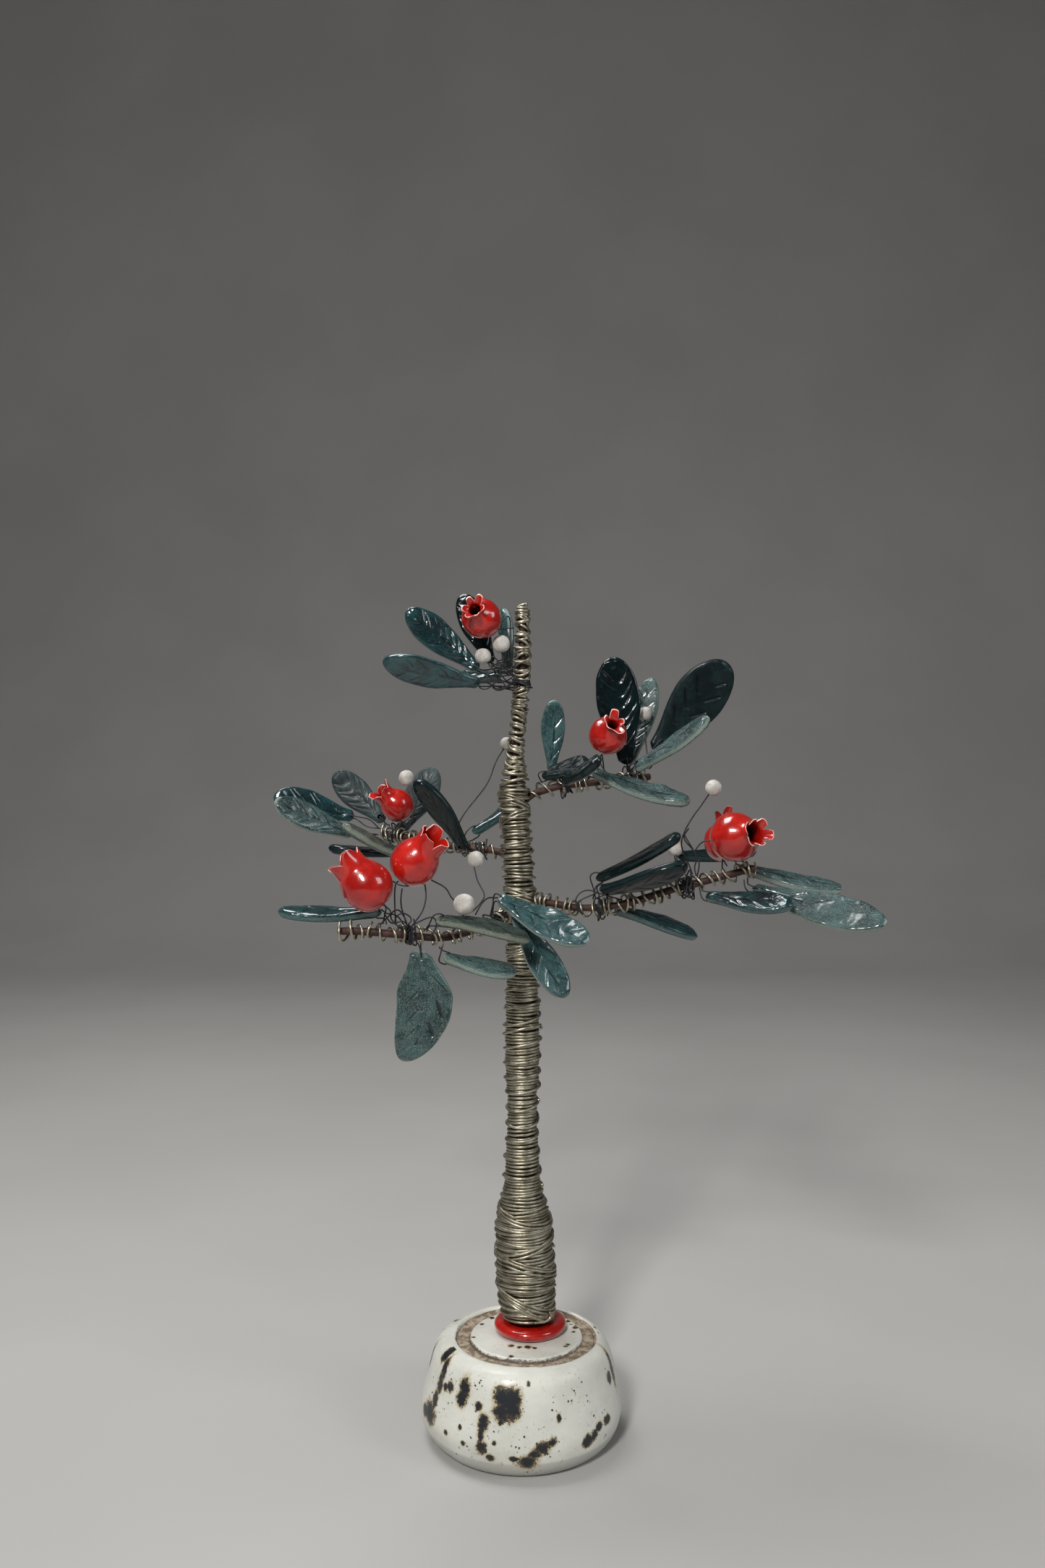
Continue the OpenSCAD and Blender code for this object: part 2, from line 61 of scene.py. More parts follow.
def spline(points, n=8):
    """A Catmull-Rom curve through the points, with n steps between two of them."""
    p = np.asarray(points, float)
    out = []
    for i in range(len(p) - 1):
        a = p[i - 1] if i > 0 else 2 * p[0] - p[1]
        d = p[i + 2] if i < len(p) - 2 else 2 * p[i + 1] - p[i]
        t = np.arange(n)[:, None] / n
        out.append((2 * p[i] + (p[i + 1] - a) * t + (2 * a - 5 * p[i] + 4 * p[i + 1] - d) * t ** 2
                    + (3 * p[i] - a - 3 * p[i + 1] + d) * t ** 3) / 2)
    out.append(p[-1:])
    return np.vstack(out)


def lengths(p):
    return np.concatenate([[0], np.cumsum(np.linalg.norm(np.diff(p, axis=0), axis=1))])


def at(p, s):
    """Points at distances s along a path."""
    d = lengths(p)
    return np.stack([np.interp(s, d, p[:, k]) for k in range(3)], -1)


def resampled(p, step):
    total = lengths(p)[-1]
    return at(p, np.linspace(0, total, max(2, int(round(total / step)) + 1)))


def smoothed(p, rounds):
    """Rounds off the small corners of a path; its ends stay where they are."""
    for _ in range(rounds):
        p[1:-1] = (p[:-2] + 2 * p[1:-1] + p[2:]) / 4
    return p


def frames(p):
    """Tangents and two normals carried along a path without twist."""
    t = np.gradient(p, axis=0)
    t /= np.linalg.norm(t, axis=1)[:, None]
    n = np.empty_like(t)
    n[0] = square_to([0, 0, 1] if abs(t[0, 2]) < 0.8 else [1, 0, 0], t[0])
    for i in range(1, len(t)):
        n[i] = square_to(n[i - 1], t[i])
    return t, n, np.cross(t, n)


def angles(n):
    return np.arange(n) * 2 * np.pi / n


def wander(n, scale, seed):
    """n values of smooth noise between about -1 and 1; scale is how fast it changes."""
    return np.array([noise.noise(Vector((i * scale, seed * 7.31, 0.37))) * 1.8 for i in range(n)])


def wander_xyz(n, scale, seed):
    return np.column_stack([wander(n, scale, seed + k) for k in range(3)])


def ring_noise(a, wide, z):
    """Smooth noise at the angles a of a ring wide from its centre, at height z."""
    return np.array([noise.noise(Vector((math.cos(t) * wide, math.sin(t) * wide, z))) for t in a])


def step(v, low, high):
    """0 below low, 1 above high and smooth between."""
    t = np.clip((v - low) / (high - low), 0, 1)
    return t * t * (3 - 2 * t)


# ---- meshes

def grid_faces(m, sides, closed=False):
    """Faces between m rings of points, and between the last and the first when closed."""
    i, k = np.meshgrid(np.arange(m if closed else m - 1), np.arange(sides), indexing="ij")
    after, beside = (i + 1) % m * sides, (k + 1) % sides
    faces = np.stack([i * sides + k, i * sides + beside, after + beside, after + k], -1)
    return faces.reshape(-1, 4).tolist()


def closed_grid(rows, hubs=None):
    """A closed skin over rings of points, rows[i][k], with a fan round a hub at both ends."""
    rows = np.asarray(rows, float)
    m, sides = rows.shape[:2]
    v = np.vstack([rows.reshape(-1, 3), hubs or [rows[0].mean(0), rows[-1].mean(0)]])
    last = (m - 1) * sides
    faces = grid_faces(m, sides)
    faces += [[m * sides, (j + 1) % sides, j] for j in range(sides)]
    faces += [[m * sides + 1, last + j, last + (j + 1) % sides] for j in range(sides)]
    return v, faces


def round_line(c, r, a, u, v):
    """Points at the distances r and the angles a round the points c of a line, with u and v square to it."""
    return c + r[:, None] * (np.cos(a)[:, None] * u + np.sin(a)[:, None] * v)


def tube(path, radius, sides):
    """A closed round tube along a path; radius is a number or one for each point."""
    path = np.asarray(path, float)
    radius = np.broadcast_to(radius, (len(path),))[:, None, None]
    _, n, b = frames(path)
    a = angles(sides)[None, :, None]
    rows = path[:, None] + radius * (np.cos(a) * n[:, None] + np.sin(a) * b[:, None])
    return closed_grid(rows, [path[0], path[-1]])


def part(skin, material, **values):
    """One skin with its material and its named values, one for each point or one for all."""
    return {"v": skin[0], "f": skin[1], "m": material, "a": values}


def for_points(value, count):
    """A value for each of count points; the hubs of fans, which come last, take the last one."""
    x = np.asarray(value, float)
    if x.ndim == 0:
        return np.broadcast_to(x, (count,))
    return np.append(x, [x[-1]] * (count - len(x)))


def new_mesh(name, v, f):
    mesh = bpy.data.meshes.new(name)
    mesh.from_pydata(v, [], f)
    return mesh


def new_object(name, data):
    o = bpy.data.objects.new(name, data)
    bpy.context.scene.collection.objects.link(o)
    return o


def smooth(mesh):
    mesh.polygons.foreach_set("use_smooth", [True] * len(mesh.polygons))


def piece(name, nodes, parts, lift=BASE_H):
    """Joins parts, in mm, raised by lift, into one object that stands for CAD nodes and rides on a body."""
    v, f, index, mats, offset = [], [], [], [], 0
    keys = sorted({k for p in parts for k in p["a"]})
    values = {k: [] for k in keys}
    for p in parts:
        if p["m"] not in mats:
            mats.append(p["m"])
        v.append(p["v"])
        f += [[c + offset for c in q] for q in p["f"]]
        index += [mats.index(p["m"])] * len(p["f"])
        for k in keys:
            values[k].append(for_points(p["a"].get(k, 0.0), len(p["v"])))
        offset += len(p["v"])
    mesh = new_mesh(name, ((np.vstack(v) + [0, 0, lift]) * MM).tolist(), f)
    mesh.update()
    for k in keys:
        each = np.concatenate(values[k]).astype(np.float32)
        mesh.attributes.new(k, "FLOAT", "POINT").data.foreach_set("value", each)
    for m in mats:
        mesh.materials.append(m)
    mesh.polygons.foreach_set("material_index", index)
    smooth(mesh)
    mesh.validate()
    o = new_object(name, mesh)
    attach(o, BODY[nodes[0]])
    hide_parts(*nodes)
    return o


# ---- materials

class Shader:
    def __init__(self, name, colour):
        self.colour = colour
        self.mat = bpy.data.materials.new(name)
        self.mat.use_nodes = True
        self.tree = self.mat.node_tree
        self.tree.nodes.clear()
        out = self.tree.nodes.new("ShaderNodeOutputMaterial")
        self.bsdf = self.tree.nodes.new("ShaderNodeBsdfPrincipled")
        self.tree.links.new(self.bsdf.outputs[0], out.inputs["Surface"])
        self.place = self.tree.nodes.new("ShaderNodeTexCoord").outputs["Object"]

    def feed(self, socket, x):
        if isinstance(x, bpy.types.NodeSocket):
            self.tree.links.new(x, socket)
        else:
            socket.default_value = x

    def node(self, kind, inputs, **settings):
        n = self.tree.nodes.new("ShaderNode" + kind)
        for k, x in settings.items():
            setattr(n, k, x)
        for k, x in inputs.items():
            self.feed(n.inputs[k], x)
        return n

    def finished(self, **inputs):
        """Sets the surface and returns the material."""
        for k, x in {"Base_Color": self.colour, **inputs}.items():
            self.feed(self.bsdf.inputs[k.replace("_", " ")], x)
        return self.mat

    def value(self, name):
        return self.node("Attribute", {}, attribute_name=name).outputs["Fac"]

    def noise(self, per_mm, detail, rough, distort=0.0, place=None):
        return self.node("TexNoise", {"Vector": place or self.place, "Scale": per_mm / MM, "Detail": detail,
                                      "Roughness": rough, "Distortion": distort}).outputs["Fac"]

    def cells(self, per_mm):
        return self.node("TexVoronoi", {"Vector": self.place, "Scale": per_mm / MM}).outputs["Distance"]

    def ramp(self, x, low, high, to=(0.0, 1.0)):
        """x from low to high brought smoothly to the range to."""
        span = {"Value": x, "From Min": low, "From Max": high, "To Min": to[0], "To Max": to[1]}
        return self.node("MapRange", span, interpolation_type="SMOOTHSTEP").outputs[0]

    def math(self, op, a, b):
        return self.node("Math", {0: a, 1: b}, operation=op).outputs[0]

    def times(self, a, b):
        return self.math("MULTIPLY", a, b)

    def plus(self, a, b):
        return self.math("ADD", a, b)

    def either_way(self, x, size):
        """Noise, which lies about 0.5, brought to lie about 0."""
        return self.times(self.math("SUBTRACT", x, 0.5), size)

    def mix(self, share, a, b):
        n = self.node("Mix", {}, data_type="RGBA")
        for socket, x in ((n.inputs[0], share), (n.inputs[6], a), (n.inputs[7], b)):
            self.feed(socket, (*x, 1.0) if isinstance(x, tuple) else x)
        return n.outputs[2]

    def over(self, colour, x, low, high, to=(0.0, 1.0), share=None):
        """Lays a colour over the one so far where x goes from low to high."""
        there = self.ramp(x, low, high, to)
        if share is not None:
            there = self.times(there, share)
        self.colour = self.mix(there, self.colour, colour)

    def bump(self, height, depth_mm, strength):
        ins = {"Height": height, "Distance": depth_mm * MM, "Strength": strength}
        return self.node("Bump", ins).outputs[0]


def leaf_glaze(name, dark, mid, pale, gloss, speckle, wear, rough, streaks, shine=0.25):
    """Blue-green glaze: streaked along the leaf, worn pale on rims and ridges, dark in the cuts."""
    s = Shader("leaf_" + name, dark)
    rim, vein, tone = s.value("rim"), s.value("vein"), s.value("tone")
    flat = {0: s.value("along"), 1: s.value("across"), 2: s.times(tone, 50.0)}
    flat = s.node("CombineXYZ", flat).outputs[0]
    long = s.node("Mapping", {"Vector": flat, "Scale": (0.30, 1.0, 1.0)}).outputs[0]
    broad = s.noise(0.00011, 4, 0.6, 0.4, flat)
    run = s.noise(0.0011, 7, 0.72, 0.6, long)
    fibre = s.noise(0.0034, 5, 0.75, 0.3, long)
    grain = s.noise(3.6, 4, 0.75)
    s.over(mid, s.plus(broad, s.either_way(run, 0.8)), 0.38, 0.66)
    thin = s.plus(s.times(rim, wear), s.times(run, 0.8))
    thin = s.ramp(s.plus(thin, s.either_way(grain, 0.5)), 0.50, 0.92)
    s.colour = s.mix(s.times(thin, 0.8), s.colour, pale)
    s.over(pale, s.plus(s.times(grain, 0.7), s.times(fibre, 0.7)), 0.70, 0.86, share=speckle)
    s.over(tuple(0.4 * x for x in dark), fibre, 0.50, 0.62, share=streaks)
    s.over(tuple(0.35 * x for x in dark), vein, 0.25, 0.75, share=0.9)
    lift = s.plus(s.times(run, 0.5), s.times(grain, 0.25 + 0.5 * speckle))
    worn = s.ramp(s.plus(grain, s.times(thin, 0.5)), 0.35, 1.1, (rough, min(1, rough + 0.35)))
    return s.finished(Specular_IOR_Level=shine, Coat_Weight=gloss, Coat_Roughness=0.04 + 0.4 * rough,
                      Roughness=worn, Normal=s.bump(lift, 0.22, 0.55))


def red_glaze():
    s = Shader("red_glaze", (0.30, 0.0035, 0.002))
    broad, fine = s.noise(0.11, 3, 0.6), s.noise(1.6, 4, 0.6)
    s.over((0.50, 0.012, 0.006), broad, 0.35, 0.7)
    s.over((0.20, 0.002, 0.002), fine, 0.60, 0.8, share=0.3)
    # painted highlight: pale pink along the rims of the sepals
    s.over((0.80, 0.42, 0.37), s.plus(s.value("rim"), s.either_way(fine, 0.5)), 0.50, 0.80)
    # painted shade: darker red deeper in the crown's hollow, by the inside value
    s.over((0.26, 0.006, 0.004), s.value("inside"), 0.2, 1.0)
    return s.finished(Roughness=0.25, Specular_IOR_Level=0.3, Coat_Weight=1.0, Coat_Roughness=0.03,
                      Normal=s.bump(s.plus(broad, s.times(fine, 0.25)), 0.5, 0.4))


def white_clay():
    s = Shader("white_clay", (0.40, 0.38, 0.345))
    broad, fine, grain = s.noise(0.3, 4, 0.6), s.noise(2.0, 6, 0.75), s.noise(6.0, 3, 0.7)
    s.over((0.58, 0.565, 0.53), broad, 0.35, 0.7)
    s.over((0.27, 0.245, 0.21), fine, 0.56, 0.74, share=0.6)
    return s.finished(Roughness=0.85, Specular_IOR_Level=0.25,
                      Normal=s.bump(s.plus(fine, s.times(grain, 0.6)), 0.16, 0.8))


def wire_metal(name, bright, tarnish, dark, metallic, rough):
    """Drawn wire with fine scratches and tarnish in patches; the value deep paints shade between the turns,
    full on the dark lining skin inside the winding and faint on the knot turns.
    """
    s = Shader(name, bright)
    broad, fine, grain = s.noise(0.25, 4, 0.6), s.noise(1.8, 5, 0.7), s.noise(7.0, 2, 0.6)
    s.over(tarnish, s.plus(broad, s.either_way(fine, 0.6)), 0.38, 0.66)
    s.over(dark, fine, 0.55, 0.75, share=0.5)
    # painted shade: deep darkens the lining skin seen between the turns, and faintly the knot turns
    s.over(dark, s.value("deep"), 0.2, 1.0)
    worn = s.ramp(s.plus(grain, s.times(fine, 0.6)), 0.4, 1.2, (rough, rough + 0.35))
    return s.finished(Metallic=metallic, Roughness=worn, Normal=s.bump(s.plus(grain, fine), 0.06, 0.5))


def core_iron():
    s = Shader("core_iron", (0.024, 0.010, 0.008))
    broad, fine, grain = s.noise(0.3, 4, 0.6), s.noise(1.5, 6, 0.75), s.noise(5.0, 3, 0.7)
    s.over((0.075, 0.029, 0.020), broad, 0.35, 0.68)
    s.over((0.03, 0.016, 0.014), fine, 0.52, 0.72)
    s.over((0.20, 0.09, 0.06), grain, 0.62, 0.75, share=0.5)
    return s.finished(Metallic=0.25, Roughness=s.ramp(grain, 0.3, 0.7, (0.42, 0.7)),
                      Normal=s.bump(s.plus(fine, grain), 0.15, 0.7))


def base_glaze():
    """Cream glaze with ragged dark blotches, brown halos, freckles, and bare clay in the ring on the top."""
    s = Shader("base_glaze", (0.56, 0.565, 0.51))
    broad, mid, fine = s.noise(0.05, 4, 0.6), s.noise(0.22, 5, 0.65), s.noise(0.75, 6, 0.75)
    grain = s.noise(2.2, 4, 0.75)
    blot, bare, foot, lip = s.value("blot"), s.value("bare"), s.value("foot"), s.value("lip")
    off = s.plus(s.either_way(fine, 1.5), s.either_way(mid, 1.3))
    ragged = s.plus(blot, s.plus(off, s.either_way(grain, 0.9)))
    s.over((0.68, 0.68, 0.625), broad, 0.3, 0.7)
    s.over((0.50, 0.47, 0.36), fine, 0.5, 0.8, share=0.22)
    s.over((0.36, 0.36, 0.335), foot, 0.2, 0.8, (0.0, 0.55))
    s.over((0.44, 0.37, 0.21), s.plus(blot, s.times(off, 0.6)), 0.04, 0.5, (0.0, 0.8))
    s.over((0.075, 0.048, 0.024), ragged, 0.42, 0.56, (0.0, 0.95))
    s.over((0.009, 0.012, 0.017), ragged, 0.60, 0.80)
    pits = s.times(s.ramp(s.cells(0.6), 0.34, 0.20), s.ramp(s.noise(0.45, 3, 0.6), 0.50, 0.56))
    pits = s.times(pits, s.ramp(s.value("freckle"), 0.15, 0.8))
    s.colour = s.mix(pits, s.colour, (0.035, 0.035, 0.022))
    clay = s.ramp(s.plus(mid, s.times(off, 0.2)), 0.40, 0.62)
    clay = s.mix(clay, (0.17, 0.12, 0.08), (0.40, 0.335, 0.255))
    s.over(clay, s.plus(bare, s.times(off, 0.25)), 0.35, 0.7)
    # dark lines along both edges of the groove: glaze pooled there, with painted shade, heavier at the front
    edge = s.plus(lip, s.times(off, 0.8))
    s.over((0.06, 0.045, 0.032), edge, 0.45, 0.8, (0.0, 0.9))
    s.over((0.015, 0.015, 0.016), edge, 0.85, 1.1)
    return s.finished(Roughness=s.ramp(s.plus(fine, bare), 0.3, 1.3, (0.34, 0.85)),
                      Specular_IOR_Level=0.35, Coat_Weight=0.3, Coat_Roughness=0.22,
                      Normal=s.bump(s.plus(s.times(fine, 0.7), s.times(grain, 0.35)), 0.3, 0.45))


RED = red_glaze()
WHITE = white_clay()
CORE = core_iron()
PALE = wire_metal("pale_wire", (0.47, 0.44, 0.35), (0.25, 0.225, 0.165), (0.03, 0.027, 0.02), 1.0, 0.24)
BLACK = wire_metal("black_wire", (0.045, 0.045, 0.05), (0.022, 0.022, 0.025), (0.012, 0.011, 0.011),
                   0.6, 0.38)
BASE = base_glaze()
# Dark, middle and pale colour, then gloss, speckle, wear of the rims, roughness, streaks and shine
GLAZES = {name: leaf_glaze(name, *look) for name, look in {
    "ink": ((0.0012, 0.0035, 0.0042), (0.0025, 0.01, 0.0115), (0.016, 0.042, 0.045),
        0.5, 0.05, 0.3, 0.1, 0.1, 0.1),
    "teal": ((0.003, 0.018, 0.022), (0.01, 0.05, 0.055), (0.12, 0.2, 0.19), 1.0, 0.14, 0.32, 0.1, 0.3),
    "sea": ((0.008, 0.036, 0.04), (0.032, 0.09, 0.094), (0.27, 0.36, 0.34), 0.9, 0.45, 0.5, 0.16, 0.35),
    "mottled": ((0.005, 0.022, 0.026), (0.032, 0.078, 0.079), (0.3, 0.38, 0.33), 0.6, 1.0, 0.55, 0.24, 0.7),
    "rough": ((0.01, 0.02, 0.018), (0.055, 0.078, 0.068), (0.25, 0.28, 0.22), 0.35, 0.8, 0.6, 0.38, 1.0),
    "dusk": ((0.012, 0.022, 0.024), (0.034, 0.056, 0.058), (0.1, 0.145, 0.145), 0.12, 0.35, 0.4, 0.5, 0.5),
    "matte": ((0.002, 0.006, 0.007), (0.006, 0.016, 0.018), (0.035, 0.07, 0.07),
        0.15, 0.2, 0.35, 0.35, 0.3, 0.1),
}.items()}


# ---- the part's own layout, in mm above the base

TRUNK = [
    (2.2, 3, -30), (2.2, 3, 4.7), (0.2, 3, 60), (0.2, 3, 160), (-3.5, 3, 217), (0.1, 3, 260),
    (0.3, 3, 286)]
# Height and outer radius of the winding on the trunk and on its tip
WINDING = [
    (4.7, 10.2), (8, 10.9), (17, 11.5), (24, 12.2), (30, 12.3), (36, 11.6), (42, 11.8), (48, 10.6),
    (55, 8.7), (60, 7.5), (68, 7.4), (75, 6.6), (81, 6.3), (94, 6.4), (100, 7.2), (120, 7.4), (133, 7.2),
    (142, 6.6), (152, 6.4), (184, 6.4), (192, 6.2), (216, 6.2), (217.5, 5.4), (223, 4.9), (228, 3.6),
    (235, 3.1), (247, 3.0), (260, 3.3), (274, 3.2), (285, 2.9), (290, 2.4)]
# Angle round the trunk, height where the branch leaves it, and its route
BRANCHES = {
    "lower_left": (210, 160, [(-3.6, 0.2, 164.5), (-6.5, -4, 166.6), (-11, -12, 165), (-19, -22, 162.5),
        (-29, -32, 161), (-43, -40, 163), (-55, -43.5, 164.5), (-66, -46, 165)]),
    "lower_right": (330, 164, [(3.6, 0.9, 168.5), (6.5, -0.6, 171.2), (12, -3, 171), (22, -6, 169.5),
        (34, -10, 170.3), (46, -13, 173.5), (58, -16, 177.5), (74, -19, 182), (88, -22, 186)]),
    "middle_left": (150, 183, [(-4.9, 4.9, 187.5), (-8, 5.4, 190.4), (-14, 6.5, 191.6), (-22, 8, 192),
        (-31, 14, 193.2), (-40, 21, 194.5), (-50, 28, 196), (-59, 34, 197)]),
    "upper_right": (30, 206, [(0.8, 4.6, 210.5), (4, 4.4, 213.6), (9, 4, 215.4), (16, 4, 217.2),
        (29, 8, 218.6), (40, 11, 219.8), (52, 14, 221)])}
CORE_R, WIRE_R, TIE_R, LEAF_T, HOLE_R, HOLE_IN = 1.5, 0.6, 0.3, 4.0, 0.9, 2.6
# How far the foot of a branch lies from the axis of the trunk, and the winding's radius round the tip
BUNDLE_R, TIP_R = 3.05, 3.4

# Line it is tied to, node, stem end, tip, width, way the upper face looks, bow up, then the look: glaze, side
# veins, depth of the cuts, how far the sides curl up, unevenness, where it is widest, bow sideways
Leaf = namedtuple("Leaf", "line node stem tip width face bow glaze veins cut curl rough widest sideways",
                  defaults=(0.62, 0))
LEAVES = [Leaf(line, *leaf) for line, leaves in {
    "tip": [
        ("leaf_top_1", (-17, -6, 263), (-45, -8, 286), 13.5, (0.1, -1, 0.2), -1.5, "teal", 7, 0.55, 1.0, 0.5),
        ("leaf_top_2", (-16, -12, 257), (-53, -20, 265), 12.5, (0, -0.9, -0.45), 1.5,
         "teal", 4, 0.3, 0.8, 0.6),
        ("leaves_top_back", (-12, -1, 266), (-24, 5, 294), 12, (0, -1, 0), -1, "ink", 4, 0.4, 0.6, 0.4),
        ("leaves_top_back", (-6, 9, 264), (-8, 17, 290), 11, (-0.9, -0.4, 0), -1, "sea", 4, 0.35, 0.6, 0.4),
        ("leaves_top_back", (-8.5, 4, 261), (-25, 14, 263), 10, (0, -0.5, 0.85), -1,
         "teal", 3, 0.3, 0.5, 0.4)],
    "middle_left": [
        ("leaf_left_1", (-71, 33, 204), (-103, 23, 213), 14, (0, -1, 0.25), -2, "teal", 5, 0.4, 0.9, 0.4),
        ("leaf_left_2", (-70, 25, 197), (-100, 10, 211), 12.5, (0, -0.85, 0.5), -2,
         "mottled", 5, 0.4, 0.8, 0.4),
        ("leaf_left_3", (-59, 40, 202), (-81, 45, 223), 13.5, (0.1, -1, 0.1), -1.5, "dusk", 5, 0.5, 0.5, 0.3),
        ("leaf_left_4", (-45, 11, 188), (-71, 0, 202), 11, (0.3, -0.15, 0.9), -1, "rough", 3, 0.3, 0.5, 0.9),
        ("leaves_left_back", (-51, 22, 190), (-79, 15, 192), 12, (0, -0.1, 1), -1, "ink", 3, 0.3, 0.5, 0.4),
        ("leaves_left_back", (-52, 42, 198), (-38.5, 56, 225), 14.5, (-0.1, -1, 0.1), -1.5,
         "dusk", 5, 0.45, 0.6, 0.3),
        ("leaf_left_5", (-22.3, -1, 191.5), (-41.5, -8, 219.5), 12, (-0.55, -0.75, -0.45), -1.8,
         "ink", 4, 0.4, 0.8, 0.5),
        ("leaf_left_6", (-20, 15, 198), (1, 30, 214), 10, (-0.4, -0.15, 1), -1, "teal", 3, 0.3, 0.4, 0.5)],
    "upper_right": [
        ("leaves_upper_near", (12, 8, 223), (13, 9, 252), 10.5, (0.1, -1, 0), -1, "sea", 3, 0.35, 1.1, 0.5),
        ("leaves_upper_near", (8, 1, 221), (26.5, 2, 228), 9, (0, -0.6, 0.8), -1, "matte", 2, 0.3, 1.0, 0.9),
        ("leaf_upper_1", (16, -4, 219), (30, -17, 228), 10, (-0.2, -0.5, 0.8), -1, "ink", 3, 0.3, 0.6, 0.4),
        ("leaf_upper_2", (28, 1, 223), (65, -13, 211), 12.5, (0, -0.45, 0.9), -1.5,
         "mottled", 3, 0.4, 1.0, 1.0),
        ("leaf_upper_3", (43, 13, 226), (37, 16, 270), 18.5, (0, -1, 0.1), -1.2, "ink", 6, 0.6, 0.8, 0.5),
        ("leaf_upper_4", (44, 19, 226), (55, 34, 263), 12, (-0.35, -0.9, 0.3), -1.5,
         "mottled", 6, 0.5, 0.9, 0.5),
        ("leaf_upper_5", (54, 11, 231), (83, 8, 267), 21.5, (0, -1, -0.1), -1.2, "matte", 4, 0.8, 0.3, 0.3),
        ("leaf_upper_6", (45, 5, 224), (73, -9, 244), 12, (-0.45, -0.45, 0.75), -1,
         "mottled", 3, 0.3, 0.4, 0.7)],
    "lower_right": [
        ("leaf_right_1", (29, -8, 181), (60, -23, 199), 11.5, (-0.45, -0.15, 0.8), -1.2,
         "ink", 3, 0.3, 0.7, 0.4),
        ("leaf_right_2", (30, -16, 177), (62, -29, 188), 12, (0.2, -0.6, -0.7), 1.5, "ink", 3, 0.3, 0.6, 0.4),
        ("leaf_right_3", (36.5, -4, 168.5), (70, 2, 157), 10, (0.3, -0.45, 0.85), 1,
         "teal", 3, 0.3, 0.4, 0.5),
        ("leaf_right_4", (63, 10, 189), (96, 16, 191), 11, (0, -0.3, 0.9), -1, "matte", 3, 0.3, 0.8, 0.4),
        ("leaf_right_5", (84.5, -9, 186), (122, -22, 178), 11, (0, -0.4, 0.9), -1.5,
         "mottled", 3, 0.35, 0.8, 0.7),
        ("leaf_right_6", (69, -27, 176), (99, -41, 174), 11, (0, -0.65, 0.75), -1, "teal", 4, 0.35, 0.8, 0.6),
        ("leaf_right_7", (86.5, -25, 178.5), (131, -48, 168), 15, (0.1, -0.85, 0.55), -2,
         "mottled", 4, 0.35, 1.0, 0.7)],
    "lower_left": [
        ("leaf_front_1", (-9, -19.2, 174.6), (25, -33, 159.5), 14, (0.1, -0.75, 0.6), -1.5,
         "sea", 4, 0.4, 1.2, 0.7),
        ("leaf_front_2", (-3, -15, 169), (17, -22, 137), 13, (0.3, -0.9, 0.2), -1.5, "sea", 4, 0.4, 1.0, 0.6),
        ("leaf_front_3", (-31, -43, 168.5), (3, -32, 160), 11, (0.2, -0.3, 0.9), 1.5,
         "rough", 3, 0.3, 0.4, 0.9),
        ("leaf_front_4", (-29, -33, 154), (-2, -24, 147), 11.5, (0.2, -0.35, 0.9), -1,
         "mottled", 3, 0.3, 0.4, 0.7),
        ("leaf_front_5", (-51, -40, 171.5), (-88, -45, 172), 11, (0, -0.3, 0.95), -1.2,
         "teal", 3, 0.3, 0.5, 0.5),
        ("leaf_hanging", (-37.2, -41, 157.5), (-42.6, -41, 117), 21, (0, -1, 0), 0,
         "mottled", 4, 0.55, 0.5, 0.5, 0.4, 4.4)]}.items() for leaf in leaves]

# Node, centre, radius, way the crown looks, line it is tied to, then sepals, half width of the neck and of
# the open crown and height of the sepals as shares of the radius, how square they are, turn
Fruit = namedtuple("Fruit", "node centre r way line sepals neck mouth tall square turn")
FRUITS = [Fruit(*fruit) for fruit in (
    ("fruit_front_left", (-55, -50, 181.5), 9.2, (-0.66, -0.1, 0.75), "lower_left",
     5, 0.7, 0.77, 0.44, 1.35, 30),
    ("fruit_front_right", (-39, -42, 189.5), 8.9, (0.62, -0.35, 0.7), "lower_left",
     5, 0.66, 0.7, 0.52, 2.4, 12),
    ("fruit_left", (-52, 28, 209), 7, (-0.7, -0.35, 0.6), "middle_left", 5, 0.62, 0.78, 0.5, 1.6, 50),
    ("fruit_top", (-15.5, -12, 282), 7.8, (-0.27, -0.92, 0.27), "tip", 6, 0.38, 0.72, 0.34, 1.9, 0),
    ("fruit_upper", (34, -2, 237), 7.6, (0.16, -0.86, 0.47), "upper_right", 5, 0.36, 0.72, 0.38, 1.7, 48),
    ("fruit_right_big", (80, -26, 198), 9.4, (0.5, -0.84, 0.18), "lower_right",
     6, 0.44, 0.78, 0.44, 2.2, 15),
    ("fruit_right_small", (78.6, -8.2, 195.3), 7.6, (0.1, 0.35, 0.93), "lower_right",
     5, 0.46, 0.66, 0.6, 1.5, 40))]
FRUIT_FOOT = 0.93

# Node, centre, radius, way the stem leaves, line it is tied to, points that the stem passes
Berry = namedtuple("Berry", "node centre r way line route")
BERRIES = [Berry(*berry) for berry in (
    ("berries", (-8, -9, 272.5), 3.5, (0.2, 0.2, -1), "tip", []),
    ("berries", (-15, -11, 267.5), 3.2, (0.6, 0, -0.8), "tip", []),
    ("berries", (-48, 25, 220.5), 3.3, (0.9, 0.2, -0.5), "middle_left", []),
    ("berries", (-18, -6, 188.5), 3.3, (-0.4, 0.9, -0.1), "middle_left", []),
    ("berries", (-21, -39, 174), 4, (-0.1, 0.5, -0.9), "lower_left", []),
    ("berries", (51, 21.5, 247), 3, (0, -0.1, -1), "upper_right", []),
    ("berries", (61, 1, 192.5), 3.2, (0.1, -0.3, -0.9), "lower_right", []),
    ("berry_back", (-6.3, 24, 234.6), 2.9, (-0.5, -0.4, -0.8), "middle_left",
     [(-25, 12, 203.5), (-15.5, 18, 216.5)]),
    ("berry_right", (73.3, -18, 216.5), 3.2, (-0.54, 0.18, -0.82), "lower_right", [(61.5, -16, 198)]))]


# ---- base and collar

